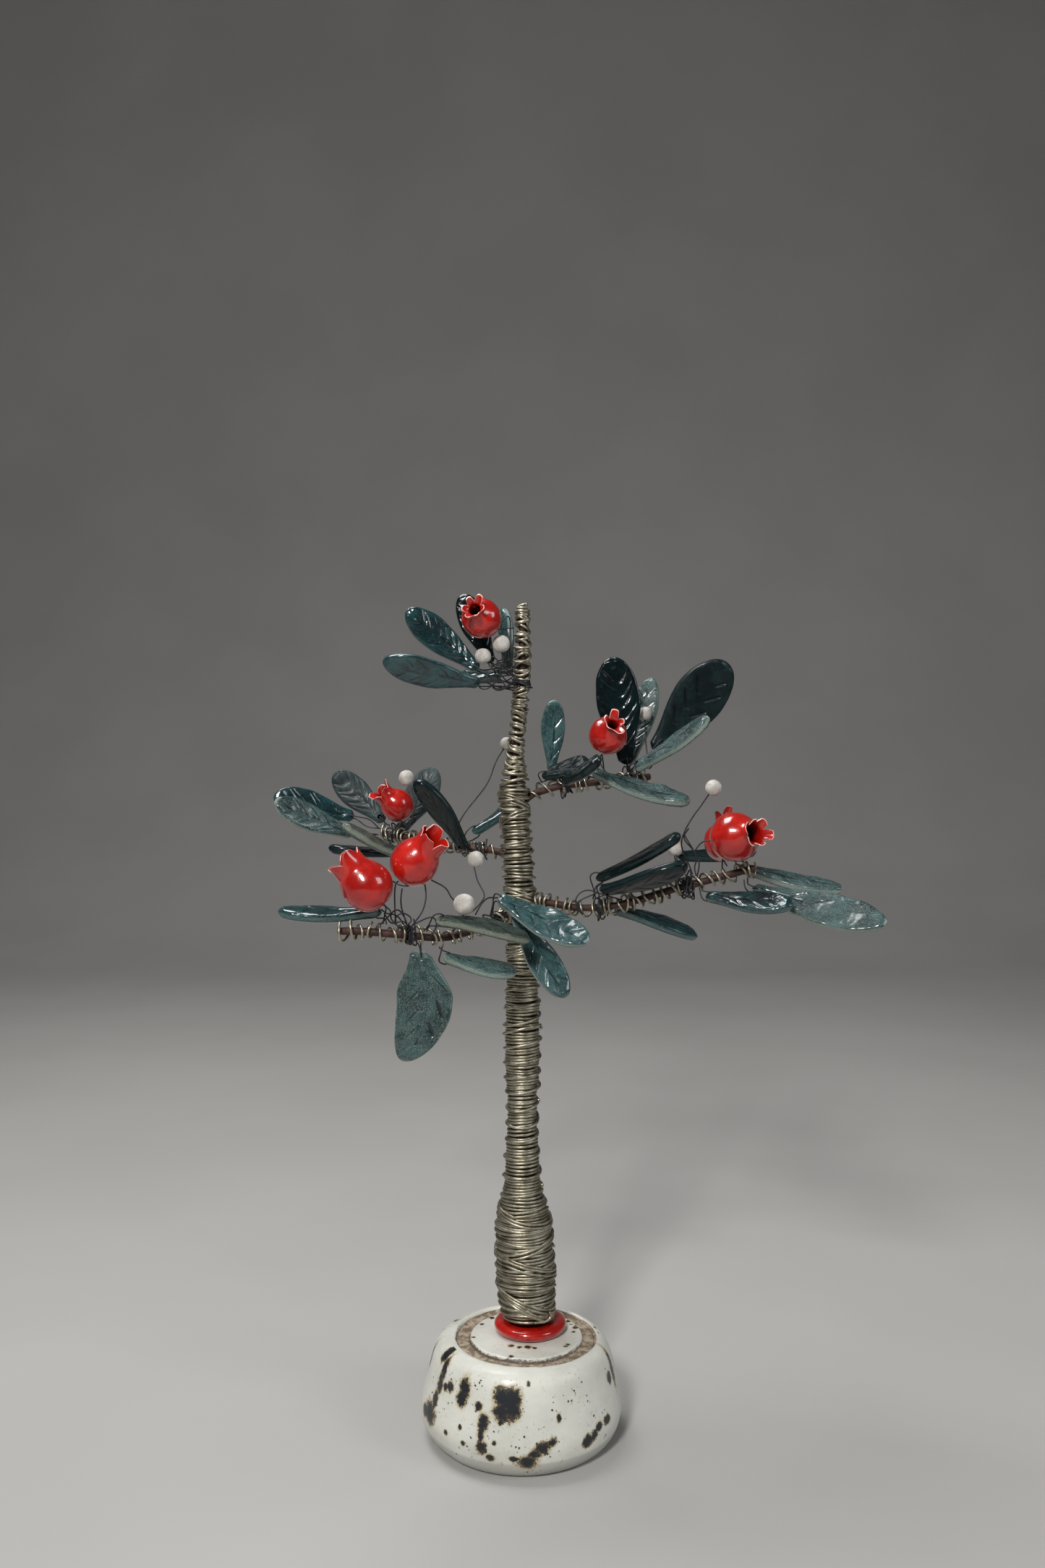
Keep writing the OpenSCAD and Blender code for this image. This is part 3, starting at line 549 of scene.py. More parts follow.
# Angle from the front, height, half width and half height of each blotch on the wall of the base
BLOTS = [
    (-11, 30, 3.6, 3.4), (-6, 30, 3.6, 3.4), (-11, 25.5, 3.6, 3.2), (-6, 26, 3.4, 3.6),
    (-8.5, 28, 4.4, 4.2), (-37, 29.5, 2.5, 4.2), (-38, 26.5, 2.3, 2.8), (-64, 36.3, 2.2, 2.6),
    (-58, 32.5, 1.7, 3.5), (-59, 27, 1.8, 3.2), (-61, 21, 1.7, 3.6), (-64, 15.5, 4.0, 3.6),
    (-71, 14, 2.6, 2.2), (-49, 28.2, 1.9, 1.6), (-53, 27.4, 1.4, 1.2), (-25.5, 25.4, 1.4, 1.5),
    (-22, 20.8, 2.0, 2.9), (-22.5, 16, 1.1, 2.0), (-22, 12.4, 1.8, 2.4), (-17, 9, 1.5, 1.2),
    (3, 8, 3.4, 2.6), (7, 11, 2.2, 1.8), (11, 13, 2.6, 2.0), (-4, 9.4, 1.6, 0.9), (17, 14.6, 1.4, 1.3),
    (39, 11.4, 2.6, 2.0), (44, 12.6, 1.5, 1.5), (48, 14.6, 1.6, 1.5), (56, 15, 2.0, 1.5),
    (68, 27, 1.6, 2.2), (76, 29, 1.6, 6.5), (21.5, 22.3, 0.8, 1.5), (-46, 13, 1.0, 0.9),
    (-36, 17, 0.8, 0.8), (-33, 12, 0.9, 0.8), (-12, 21.5, 0.8, 0.8), (-15, 14.5, 0.8, 0.8),
    (4.2, 34.4, 0.8, 0.8), (-88, 30, 2.0, 4.5), (104, 16, 4.2, 3.4), (112, 21, 2.0, 3.2),
    (131, 30, 4.8, 4.2), (149, 13, 2.6, 2.2), (163, 24, 1.8, 5.0), (176, 33, 2.6, 2.4),
    (197, 12, 4.6, 2.8), (205, 17, 1.8, 2.0), (221, 28, 5.2, 4.4), (236, 21, 1.8, 4.2),
    (247, 10, 3.0, 1.8), (255, 33, 1.6, 2.8)]
# Place on the top and radius of each spot there
TOP_SPOTS = [
    (-4, -10.6, 1.3), (-1, -11.6, 1.0), (2.5, -11.4, 1.3), (5, -12.2, 0.9), (18, -9.5, 0.9),
    (17, -11, 0.8), (20.5, 2, 0.9), (21.5, 6, 1.1), (20, 9, 0.8), (19, 12, 1.0), (22, 8, 0.7),
    (-16, 9, 0.9), (-12, 15, 1.0), (6, 20, 1.2), (9, 18.5, 0.8), (-19, -3, 0.7), (-4, -19.5, 0.9),
    (30, 8, 1.0), (31, 3, 0.8), (-27, 14, 1.3)]
# Angle from the front, height and reach of the freckled patches on the wall
FRECKLES = [
    (22, 29, 7), (33, 31, 7), (38, 27, 6), (21, 24, 5), (48, 14, 9), (-34, 12, 9), (8, 11, 13),
    (-58, 27, 13), (-9, 28, 10), (-28, 29, 8), (-22, 16, 9), (66, 31, 6), (120, 24, 12), (170, 18, 14),
    (215, 20, 14), (250, 25, 10)]
WALL_R = 38
GROOVE_X, GROOVE_IN, GROOVE_OUT, GROOVE_DEEP = 1.8, 22.0, 28.0, 1.6


def base_skin():
    """The skin of the base and the values, one for each point, that its glaze is drawn from."""
    wall = spline([(34.1, 0.5), (35.9, 1.7), (37.6, 3.7), (38.9, 6.3), (39.6, 9.2), (39.85, 12), (39.4, 15.5),
                   (38.5, 19.5), (37.2, 25), (35.9, 30), (35.0, 32.8), (33.4, 35.5), (31.4, 37.1),
                   (29.6, 37.8), (28.9, 37.95)])
    wall = resampled(np.column_stack([wall, np.zeros(len(wall))]), 0.5)[:, :2]
    foot = [(r, 0.0) for r in np.linspace(0.5, 33.0, 22)] + [(33.6, 0.06), (33.95, 0.25)]
    top = [(r, BASE_H) for r in np.arange(28.5, 0.4, -0.45)]
    prof = np.array(foot + wall.tolist() + top)
    a = angles(460)
    full = np.ones(len(a))
    r, z = prof[:, :1] * full, prof[:, 1:] * full
    on_wall = ((prof[:, 1] > 0.3) & (prof[:, 0] > 28.7))[:, None]
    on_top = (prof[:, 1] > 37)[:, None] * np.ones(len(a), bool)
    wob = np.array([ring_noise(a, 1.6, q * 0.05) for q in prof[:, 1]])
    r = r - on_wall * (0.3 + 0.5 * wob)
    x, y = r * np.sin(a), -r * np.cos(a)
    d = np.hypot(x - GROOVE_X, y)
    cut = step(d, GROOVE_IN - 0.3, GROOVE_IN + 0.7) * (1 - step(d, GROOVE_OUT - 0.8, GROOVE_OUT + 0.3))
    z = z - on_top * (cut * GROOVE_DEEP + 0.12 * (1 + wob)) * step(r, 0, 2)

    def from_centre(angle, height):
        turned_by = (np.degrees(a)[None, :] * np.ones_like(r) - angle + 180) % 360 - 180
        return np.radians(turned_by) * WALL_R, z - height
    blot, speck = np.zeros_like(r), np.zeros_like(r)
    for angle, height, wide, tall in BLOTS:
        across, up = from_centre(angle, height)
        blot = np.maximum(blot, 1.05 * (1 - step(np.hypot(across / wide, up / tall), 0.2, 1.9)) * on_wall)
    for angle, height, reach in FRECKLES:
        off = np.hypot(*from_centre(angle, height)) / reach
        speck = np.maximum(speck, (1 - step(off, 0.4, 1.1)) * on_wall)
    for u, v, w in TOP_SPOTS:
        blot = np.maximum(blot, 0.8 * (1 - step(np.hypot(x - u, y - v) / w, 0.2, 2.0)) * on_top)
    bare = step(d, GROOVE_IN - 0.1, GROOVE_IN + 0.5) * (1 - step(d, GROOVE_OUT - 0.5, GROOVE_OUT + 0.1))
    # lip: dark lines along both groove edges, glaze pooled there with painted shade, heavier at the front
    front = 1 - step(y + 0.4 * x, -20, 12)
    lip = on_top * (np.exp(-((d - GROOVE_OUT + 0.2) / 0.7) ** 2) * (0.35 + 0.5 * front)
                    + np.exp(-((d - GROOVE_IN - 0.4) / 0.8) ** 2) * (0.45 + 0.35 * front))
    low = (1 - step(z, 5.5, 8.5)) * on_wall
    values = {"blot": blot, "bare": on_top * bare, "lip": lip, "foot": low, "freckle": speck}
    return closed_grid(np.stack([x, y, z], -1)), {k: q.reshape(-1) for k, q in values.items()}


base, glazing = base_skin()
piece("base_body", ["base"], [part(base, BASE, **glazing)], lift=0)


def collar_skin():
    prof = spline([(7.05, 3.2), (7.15, 0.5), (7.8, 0.12), (10.5, 0.06), (12.3, 0.1), (13.5, 0.7), (14.2, 1.7),
                   (14.35, 2.6), (14.0, 3.5), (13.1, 4.2), (11.8, 4.5), (10.2, 4.5), (9.0, 4.35), (7.9, 4.0),
                   (7.05, 3.2)], 6)[:-1]
    a = angles(180)
    wide = prof[:, 0] * (1 + 0.012 * ring_noise(a, 1, 2.2))[:, None]
    lumps = np.stack([0.1 * ring_noise(a, 2, z) * (z > 2) for z in prof[:, 1]], -1)
    x, y = 3.4 + wide * np.cos(a)[:, None], 4.5 + wide * np.sin(a)[:, None]
    rows = np.stack([x, y, prof[:, 1] + lumps], -1)
    return rows.reshape(-1, 3), grid_faces(*rows.shape[:2], closed=True)


piece("collar_disc", ["collar"], [part(collar_skin(), RED, rim=0.0, inside=0.0)])


# ---- trunk

def axis_at(z):
    t = np.array(TRUNK)
    return np.stack([np.interp(z, t[:, 2], t[:, 0]), np.interp(z, t[:, 2], t[:, 1])], -1)


def winding_r(z):
    w = np.array(WINDING)
    return np.interp(z, w[:, 0], w[:, 1])


def round_trunk(a, z, r):
    """Points at the angles a and distance r from the trunk's axis at height z."""
    c = axis_at(z)
    return np.column_stack([c[:, 0] + r * np.cos(a), c[:, 1] + r * np.sin(a), z])


def winding(z0, z1, pitch, seed, out, tilt, jitter, way=1, uneven=0.2):
    """One wire wound round the trunk's axis, its turns bunched, leaning and standing off unevenly."""
    steps = 24
    turns = max(2, int(round((z1 - z0) / pitch)))
    n = turns * steps
    local = np.random.default_rng(seed)

    def each(low, high, every=1.0):
        knots = int(turns / every) + 2
        return np.interp(np.arange(n), np.arange(knots) * steps * every, local.uniform(low, high, knots))
    z = np.cumsum(each(1 - uneven, 1 + uneven, 0.8) * each(1 - uneven, 1 + uneven, 5.0))
    z = z0 + (z - z[0]) / (z[-1] - z[0]) * (z1 - z0)
    a = way * np.arange(n) * 2 * np.pi / steps
    rad = winding_r(z) - WIRE_R - 0.15 + out + jitter * (each(-1, 0.7, 0.35) + 0.6 * each(-1, 0.8, 2.2))
    lean = tilt * (0.65 * each(-1, 1, 4.0) + 0.5 * each(-1, 1, 1.0))
    p = round_trunk(a, z, rad)
    p[:, 2] = np.clip(z + lean * np.sin(a + 1.5 * each(-1, 1, 9.0)), z0 - 0.3, z1 + 0.3)
    return smoothed(p, 2)


def wound(path, r=WIRE_R, sides=7):
    return part(tube(path, r, sides), PALE, deep=0.0)


def painted_shade_lining(z0, z1, inset):
    """A dark skin inside the winding, seen through its gaps, that paints the shade between the turns."""
    a = angles(36)
    rows = [round_trunk(a, np.full(len(a), z), winding_r(z) - inset) for z in np.arange(z0, z1 + 0.1, 1.2)]
    return part(closed_grid(rows), PALE, deep=1.0)


def sloping(z, rise, high_at, turns, seed, out):
    """Turns that lie slanted over the winding, highest at the angle high_at."""
    n = int(turns * 40)
    a = math.radians(high_at + 40) + np.arange(n) * 2 * np.pi / 40
    slope = rise * np.cos(a - math.radians(high_at))
    z = z + slope + np.linspace(0, 1.3 * turns, n) + 0.25 * wander(n, 0.05, seed)
    return wound(round_trunk(a, z, winding_r(z) - WIRE_R + out))


# the first part is a dark skin that paints shade in the gaps of the winding
trunk = [painted_shade_lining(5.0, 216.0, 1.75)]
# From, to, pitch, seed, how far off, tilt and jitter of each wire: close windings, then looser ones over them
for wire in ((5.3, 19, 1.30, 11, 0, 1.6, 0.4), (18, 56, 1.24, 13, 0, 0.9, 0.45),
             (55, 92, 1.28, 15, 0, 0.8, 0.35), (91, 133, 1.27, 17, 0, 0.8, 0.35),
             (132, 171, 1.32, 19, 0, 1.0, 0.4), (170, 216.5, 1.36, 23, 0, 1.2, 0.45),
             (5.5, 24, 4.0, 51, 0.9, 5.0, 0.25),
             (9, 21, 6.0, 52, 1.0, 4.5, 0.25), (22, 50, 7.0, 55, 0.9, 3.6, 0.25),
             (34, 57, 6.5, 56, 0.8, 3.0, 0.25), (58, 92, 7.5, 57, 0.8, 2.4, 0.25),
             (92, 122, 6.0, 59, 0.9, 2.2, 0.25), (120, 152, 6.0, 61, 0.9, 2.4, 0.25),
             (150, 176, 5.0, 63, 0.9, 2.8, 0.25), (172, 196, 5.0, 64, 0.9, 2.8, 0.25),
             (192, 215.5, 3.6, 65, 0.9, 2.6, 0.25)):
    trunk.append(wound(winding(*wire)))
# Height, rise, angle of the highest point, turns, seed and how far off of slanted turns
for slant in ((11.6, 6.2, 168, 2.2, 5, 0.25), (13.6, 5.0, 176, 1.6, 6, 0.6), (34, 3.2, 20, 2.4, 7, 0.3),
              (27, 3.6, 190, 2.3, 8, 0.3), (46, 2.6, 150, 2.2, 9, 0.3), (152, 2.0, 30, 2.4, 10, 0.3),
              (172, 2.4, 200, 2.3, 12, 0.3), (203, 2.8, 330, 2.6, 14, 0.3), (209, 2.6, 210, 2.2, 16, 0.3)):
    trunk.append(sloping(*slant))
trunk.append(wound(spline([(5, -7.6, 7.5), (9.2, -5.6, 7.2), (11.4, -4.4, 8.6), (11.0, -5.2, 11.0)]), 0.55))
piece("trunk_wire", ["trunk_winding"], trunk)

tip = [winding(216.5, 229, 1.9, 71, 0.1, 1.8, 0.45), winding(221, 289.5, 2.9, 73, 0.15, 3.0, 0.3, -1, 0.4),
       winding(223, 288, 2.7, 75, 0.5, 3.4, 0.3, uneven=0.4), winding(217, 248, 3.8, 77, 0.8, 3.6, 0.3, -1),
       winding(248, 288, 4.6, 79, 0.8, 3.4, 0.3)]
piece("tip_wire", ["tip_winding"], [wound(path) for path in tip])


# ---- cores and coils of the branches

def bundle_at(degrees):
    return BUNDLE_R * np.array([math.cos(math.radians(degrees)), math.sin(math.radians(degrees)), 0])


LINES = {}
for name, (degrees, z, route) in BRANCHES.items():
    LINES[name] = spline([np.array([*axis_at(z), z]) + bundle_at(degrees)] + route)
LINES["tip"] = np.array(TRUNK[4:], float)


def rod(path, r, seed):
    """A stiff wire with small dents and rounded ends."""
    p = resampled(np.asarray(path, float), 1.0)
    n = len(p)
    p = p + 0.10 * wander_xyz(n, 0.13, seed)
    t = unit(p[-1] - p[-2])
    p = np.vstack([p, p[-1] + t * 0.35, p[-1] + t * 0.5])
    rad = np.concatenate([r * (1 + 0.05 * wander(n, 0.3, seed + 3)), [r * 0.8, r * 0.35]])
    return part(tube(p, rad, 14), CORE)


for i, (name, (degrees, z, route)) in enumerate(BRANCHES.items()):
    buried = [np.array(t) + bundle_at(degrees) for t in TRUNK if t[2] < z - 1]
    core = rod(np.vstack([buried, LINES[name]]), CORE_R - 0.1, 80 + i * 7)
    piece("core_wire_" + name, ["core_" + name], [core])
piece("core_wire_leader", ["core_leader"], [rod(TRUNK, CORE_R - 0.1, 79)])


def open_coil(name, skip, pitch, seed, curl):
    """A coil stretched open by hand round a branch: uneven, leaning turns and a curled end."""
    line = LINES[name]
    total = lengths(line)[-1]
    steps = 24
    turns = int((total - skip - 0.5) / pitch)
    n = turns * steps
    local = np.random.default_rng(seed)

    def each(low, high):
        return np.interp(np.arange(n), np.arange(turns + 1) * steps, local.uniform(low, high, turns + 1))
    s = np.cumsum(each(0.25, 1.9))
    s = skip + (s - s[0]) / (s[-1] - s[0]) * (total - skip - 0.5)
    c = at(line, s)
    t, u, v = frames(c)
    a = np.arange(n) * 2 * np.pi / steps + 0.5 * each(-1, 1)
    off = each(-0.8, 0.8)[:, None] * u + each(-0.8, 0.8)[:, None] * v
    rad = CORE_R + WIRE_R + 0.9 + each(-0.15, 0.45) + curl * np.clip((s - (total - 8)) / 8, 0, 1) ** 2
    lean = each(-2.2, 2.2) * np.sin(a + each(-1, 1))
    p = round_line(c + off, rad, a, u, v) + lean[:, None] * t
    return wound(smoothed(p, 6), 0.5, 9)


piece("coil_wire_left", ["coils_left"],
      [open_coil("lower_left", 10, 3.9, 101, 1.0), open_coil("middle_left", 9, 3.3, 105, 0.5)])
piece("coil_wire_right", ["coils_right"],
      [open_coil("lower_right", 9, 3.1, 111, 0.4), open_coil("upper_right", 8, 3.7, 115, 0.5)])


# ---- leaves

def leaf_half(u, widest):
    """Half width at the share u of the length, as a share of the width."""
    up = 0.5 * np.sqrt(np.clip(1 - ((u - widest) / (1 - widest)) ** 2, 0, None))
    low = 0.25 * (0.8 + 1.2 * (1 - np.cos(np.pi * u / widest)) / 2)
    return np.where(u > widest, up, low) * np.minimum(1, np.sqrt(u / 0.05 + 0.12))


def leaf_long(leaf):
    return float(np.linalg.norm(np.subtract(leaf.tip, leaf.stem)))


def leaf_axes(leaf):
    axis = unit(np.subtract(leaf.tip, leaf.stem))
    up = square_to(leaf.face, axis)
    return axis, up, np.cross(up, axis)


def leaf_mid(leaf, u):
    """Points of the bowed middle line at shares u of the length."""
    _, up, side = leaf_axes(leaf)
    u = np.atleast_1d(u)[:, None]
    bow = 4 * u * (1 - u)
    along = leaf.stem + np.subtract(leaf.tip, leaf.stem) * u
    return along + up * leaf.bow * bow + side * leaf.sideways * bow


def leaf_hole(leaf):
    return leaf_mid(leaf, HOLE_IN / leaf_long(leaf))[0]


# Cuts of leaves that aren't feathered evenly: side and distance from the stem end where each begins, the same
# where it ends, half width
CUTS = {
    "leaf_hanging": [
        (0.3, 6, 0.6, 34, 0.42), (2.6, 8, 8.2, 13.4, 0.3), (4.4, 17, 7.0, 23, 0.75),
        (2.8, 25.5, 5.4, 30, 0.72), (-1.6, 13, -5.6, 18.5, 0.3), (-1.2, 20, -5.2, 26, 0.3),
        (-0.8, 27, -3.6, 31.5, 0.3)],
    "leaf_upper_5": [
        (0.2, 7, -0.2, 41, 0.5), (1.4, 14, 5.6, 19.6, 0.42), (1.6, 21.5, 7.0, 27.5, 0.5),
        (1.8, 29, 6.4, 34.5, 0.5), (-1.4, 19.5, -5.6, 25, 0.45), (-1.6, 27.5, -6.2, 33.5, 0.5),
        (-1.4, 35.2, -4.4, 39, 0.45)],
    "leaf_front_4": [
        (-0.9, 5.2, -0.9, 5.9, 0.6), (-0.7, 9.6, -0.7, 10.3, 0.6), (-0.5, 14.2, -0.5, 14.9, 0.6)],
    "leaf_right_7": [
        (0.4, 5, 0.6, 20, 0.35), (1.2, 15, 4.0, 20, 0.4), (1.6, 24, 3.6, 30, 0.5),
        (-1.0, 14, -3.6, 18.5, 0.4)]}


def leaf_cuts(leaf, seed, x, s, u, long, flank):
    """How deep the surface is cut at side x and distance s, from 0 to 1."""
    if leaf.node in CUTS:
        deep = np.zeros_like(x)
        for x0, s0, x1, s1, wide in CUTS[leaf.node]:
            run = np.array([x1 - x0, s1 - s0])
            t = np.clip(((x - x0) * run[0] + (s - s0) * run[1]) / (run @ run), 0, 1)
            gap = np.hypot(x - x0 - t * run[0], s - s0 - t * run[1])
            taper = 0.35 + 0.65 * np.sin(np.pi * (0.15 + 0.7 * t))
            deep = np.maximum(deep, np.exp(-(gap / (wide * taper)) ** 2))
        return deep
    wavy = 0.5 * np.sin(s * 0.22 + seed)
    ends = np.clip((u - 0.10) / 0.08, 0, 1) * np.clip((0.90 - u) / 0.06, 0, 1)
    deep = np.exp(-((x - wavy) / 0.34) ** 2) * ends[:, None]
    run = np.abs(x - wavy)
    reach = np.clip((flank - 0.08) / 0.06, 0, 1) * np.clip((0.82 - flank) / 0.14, 0, 1)
    for j in range(leaf.veins):
        for hand in (-1, 1):
            root = long * (0.16 + 0.64 * (j + (0.5 if hand > 0 else 0.15)) / leaf.veins)
            slope = 1.0 + 0.25 * math.sin(seed + 3 * j + hand)
            gap = (s - root - run * slope - 0.05 * run ** 2) / math.hypot(1, slope)
            vein = 0.9 * np.exp(-(gap / 0.27) ** 2) * reach * (np.sign(x - wavy) == hand)
            deep = np.maximum(deep, vein)
    return deep


def leaf_skin(leaf, seed):
    """The skin of a leaf and the values, one for each point, that its glaze is drawn from."""
    _, up, side = leaf_axes(leaf)
    long = leaf_long(leaf)
    rows_n, around = max(70, int(long / 0.34)), 100
    u = 0.002 + 0.996 * (1 - np.cos(np.pi * np.linspace(0, 1, rows_n))) / 2
    half = leaf.width * leaf_half(u, leaf.widest)
    a = 2 * np.pi * (np.arange(around) + 0.5) / around
    cx = np.sign(np.cos(a)) * np.abs(np.cos(a)) ** 0.66
    cz = np.sign(np.sin(a)) * np.abs(np.sin(a)) ** 0.50
    end = np.sqrt(np.clip(np.minimum(u, 1 - u) * long / 2.2, 0.02, 1))[:, None]
    s = u[:, None] * long * np.ones(around)
    x = (half[:, None] - 0.25) * cx[None, :]

    def field(scale, k):
        points = np.stack([s * scale, x * scale, np.full_like(x, seed * 3.7 + k)], -1)
        return np.array([[noise.noise(Vector(p)) for p in row] for row in points])
    low, fine = field(0.16, 0.0), field(0.7, 5.0)
    x = x * (1 + 0.09 * leaf.rough * low)
    flank = np.clip(np.abs(x) / np.maximum(half[:, None], 0.2), 0, 1)
    thick = (LEAF_T / 2 + 0.05) * end * (1 - 0.10 * flank ** 2) * (1 + 0.16 * leaf.rough * low)
    top = np.clip(cz, 0, 1)[None, :]
    vein = leaf_cuts(leaf, seed, x, s, u, long, flank) * np.clip(top * 2.2 - 0.4, 0, 1)
    puff = np.sin(np.pi * leaf.veins * (s / long - 0.16 * flank) / 0.64) ** 2 * (1 - flank ** 3)
    z = thick * cz[None, :]
    z = z - leaf.cut * vein * end + 0.25 * leaf.cut * puff * np.clip(top * 2, 0, 1) * end
    z = z + leaf.rough * (0.30 * low + 0.13 * fine) * end
    z = z + leaf.curl * flank ** 2 * half[:, None] / 7.0 * 0.9 - 0.25 * leaf.curl
    rows = leaf_mid(leaf, u)[:, None] + side * x[..., None] + up * z[..., None]
    rim = np.maximum(np.clip(1.15 - np.abs(cz)[None, :] * 1.3, 0, 1), np.clip(1.2 - end * 1.2, 0, 1))
    values = {"rim": rim, "vein": vein, "along": s + 60 * seed, "across": x + 3.0 * z,
              "tone": np.full_like(x, (seed * 0.37) % 1)}
    return closed_grid(rows), {k: q.reshape(-1) for k, q in values.items()}


def drilled(o, holes):
    """Cuts round holes, (place, direction) in mm above the base, through a piece."""
    for place, way in holes:
        v, f = tube([place - 4 * unit(way), place + 4 * unit(way)], HOLE_R, 20)
        d = new_object("drill", new_mesh("drill", ((v + [0, 0, BASE_H]) * MM).tolist(), f))
        m = o.modifiers.new("hole", "BOOLEAN")
        m.object, m.operation, m.solver = d, "DIFFERENCE", "FAST"
        bpy.context.view_layer.update()
        done = bpy.data.meshes.new_from_object(o.evaluated_get(bpy.context.evaluated_depsgraph_get()))
        o.modifiers.clear()
        if len(done.vertices) > 0.9 * len(o.data.vertices):
            o.data = done
        bpy.data.objects.remove(d)


for n in dict.fromkeys(leaf.node for leaf in LEAVES):
    parts, holes = [], []
    for i, leaf in enumerate(LEAVES):
        if leaf.node == n:
            skin, values = leaf_skin(leaf, i + 1)
            parts.append(part(skin, GLAZES[leaf.glaze], **values))
            holes.append((leaf_hole(leaf), leaf_axes(leaf)[1]))
    drilled(piece("glazed_" + n, [n], parts), holes)


# ---- pomegranates and berries

def turned(way):
    """Axes x, y, z with z along way."""
    z = unit(way)
    x = square_to([0, 0, 1] if abs(z[2]) < 0.9 else [1, 0, 0], z)
    return np.array([x, np.cross(z, x), z])


def fruit_skin(fruit, r, seed):
    """A hollow pomegranate, foot at the bottom, with an open crown of sepals."""
    sepals, neck, mouth = fruit.sepals, fruit.neck, fruit.mouth
    a = angles(150)
    outline = spline([(0.10, -0.93), (0.42, -0.91), (0.76, -0.66), (0.97, -0.24), (0.985, 0.18), (0.86, 0.54),
                      (0.5 * neck + 0.38, 0.82), (0.9 * neck + 0.07, 1.0), (neck, 1.14)], 7) * r
    lobe = a * sepals / (2 * np.pi) + fruit.turn / 360 * sepals
    who = np.floor(lobe).astype(int) % sepals
    lobe = lobe % 1.0
    tips = np.array([0.86 + 0.2 * math.sin(seed * 5.1 + 2.3 * k) for k in range(sepals)])[who]
    outs = np.array([0.75 + 0.35 * math.sin(seed * 2.7 + 1.9 * k + 1) for k in range(sepals)])[who]
    blunt = np.clip((1 - np.abs(lobe - 0.5) * 2) * fruit.square, 0, 1) ** 0.7
    reach = 0.22 + (tips - 0.22) * blunt
    fold = 0.05 * r * np.cos((lobe - 0.5) * 2 * np.pi) * outs
    wall, top, high = 0.72, outline[-1, 1], fruit.tall * r
    rows, rim, inside = [], [], []

    def ring(radius, z, edge, deep):
        rows.append(np.column_stack([radius * np.cos(a), radius * np.sin(a), z * np.ones(len(a))]))
        rim.append(edge * np.ones(len(a)))
        inside.append(deep * np.ones(len(a)))

    def wob(z):
        return 1 + 0.022 * ring_noise(a, 1.3, z / r + seed * 2)

    def petal(t):
        h = t * reach
        return neck * r * wob(top) + (mouth - neck) * r * h ** 1.6 * outs + fold * h, top + high * h
    for x, z in outline:
        ring(x * wob(z), z, 0, 0)
    # rim marks where the pale painted highlight lies along the sepals' edges
    for t in np.linspace(0, 1, 26)[1:]:
        x, z = petal(t)
        ring(x, z, np.clip((t - 0.955) / 0.03, 0, 1), 0)
    # inside: painted shade on the crown's inner wall and hollow, more the deeper it lies
    for t in np.linspace(1, 0, 22):
        x, z = petal(t)
        ring(x - wall * (0.55 + 0.45 * (1 - t)), z - 0.10 * (t > 0.99), np.clip((t - 0.975) / 0.02, 0, 1),
             0.12 + 0.5 * (1 - t))
    for k, t in enumerate(np.radians(np.linspace(46, -70, 16))):
        x, z = (r - 1.3) * math.cos(t), (r - 1.3) * math.sin(t)
        ring(min(x, (neck * r - wall) * (1 + 0.3 * k)), z, 0, 0.6 + 0.4 * min(1, k / 3))
    return closed_grid(rows), np.concatenate(rim), np.concatenate(inside)


for i, fruit in enumerate(FRUITS):
    (v, f), rim, inside = fruit_skin(fruit, fruit.r - 0.05, i + 1)
    v = fruit.centre + v @ turned(fruit.way)
    piece("red_" + fruit.node, [fruit.node], [part((v, f), RED, rim=rim, inside=inside)])


def berry_skin(berry, seed):
    a = angles(64)
    rows = []
    for t in np.radians(np.linspace(89, -89, 42)):
        p = np.column_stack([math.cos(t) * np.cos(a), math.cos(t) * np.sin(a), np.full(64, math.sin(t))])
        lumps = np.array([noise.noise(Vector(q * 1.4) + Vector((seed, 0, 0)))
                          + 0.35 * noise.noise(Vector(q * 5) + Vector((seed, 3, 0))) for q in p])
        dent = 0.12 * math.exp(-((math.pi / 2 - t) / 0.28) ** 2)
        rows.append(p * (berry.r * (0.985 + 0.035 * lumps - dent))[:, None])
    v, f = closed_grid(rows[::-1])
    return berry.centre + v @ turned(berry.way), f


for n in ("berries", "berry_back", "berry_right"):
    parts = [part(berry_skin(b, i + 1.5), WHITE) for i, b in enumerate(BERRIES) if b.node == n]
    piece("clay_" + n, [n], parts)


# ---- ties and stems

def held_r(name):
    return TIP_R if name == "tip" else CORE_R + 2 * WIRE_R + 0.2


def direction(line, s):
    return unit(at(line, s + 1) - at(line, s - 1))


def tie_off(name, p, shift=0.0, out=0.0):
    """Where a tie from p lands on a line: on the side of it that looks at p, shift along and out from it."""
    line = resampled(LINES[name], 0.5)
    s = lengths(line)[np.argmin(np.linalg.norm(line - p, axis=1))] + shift
    q = at(line, s)
    return q + (held_r(name) + 0.5 + out) * square_to(np.subtract(p, q), direction(line, s))


def strand(points, seed, sway, r=0.27, n=9):
    """A soft black wire through the points, a little bent by hand."""
    p = smoothed(resampled(spline(points, n), 0.4), 14)
    p = resampled(p, 0.45)
    m = len(p)
    p = p + sway * np.sin(np.linspace(0, np.pi, m))[:, None] * wander_xyz(m, 0.05, seed)
    return part(tube(p, r, 8), BLACK, deep=0.0)


def leaf_tie(leaf, seed):
    """A wire from the line through the hole of a leaf and back."""
    axis, up, side = leaf_axes(leaf)
    out = np.array(leaf.stem) - axis * 1.3
    hole = leaf_hole(leaf)
    lift = up * (LEAF_T / 2 + 0.35)
    a, b = tie_off(leaf.line, out, 0.6), tie_off(leaf.line, out, -0.6)
    bulge = side * 1.4 * math.sin(seed)
    return strand([a, (a + out + lift) / 2 + bulge, out + lift, hole + lift, hole, hole - lift, out - lift,
                   (b + out - lift) / 2 - bulge, b], seed, 0.18)


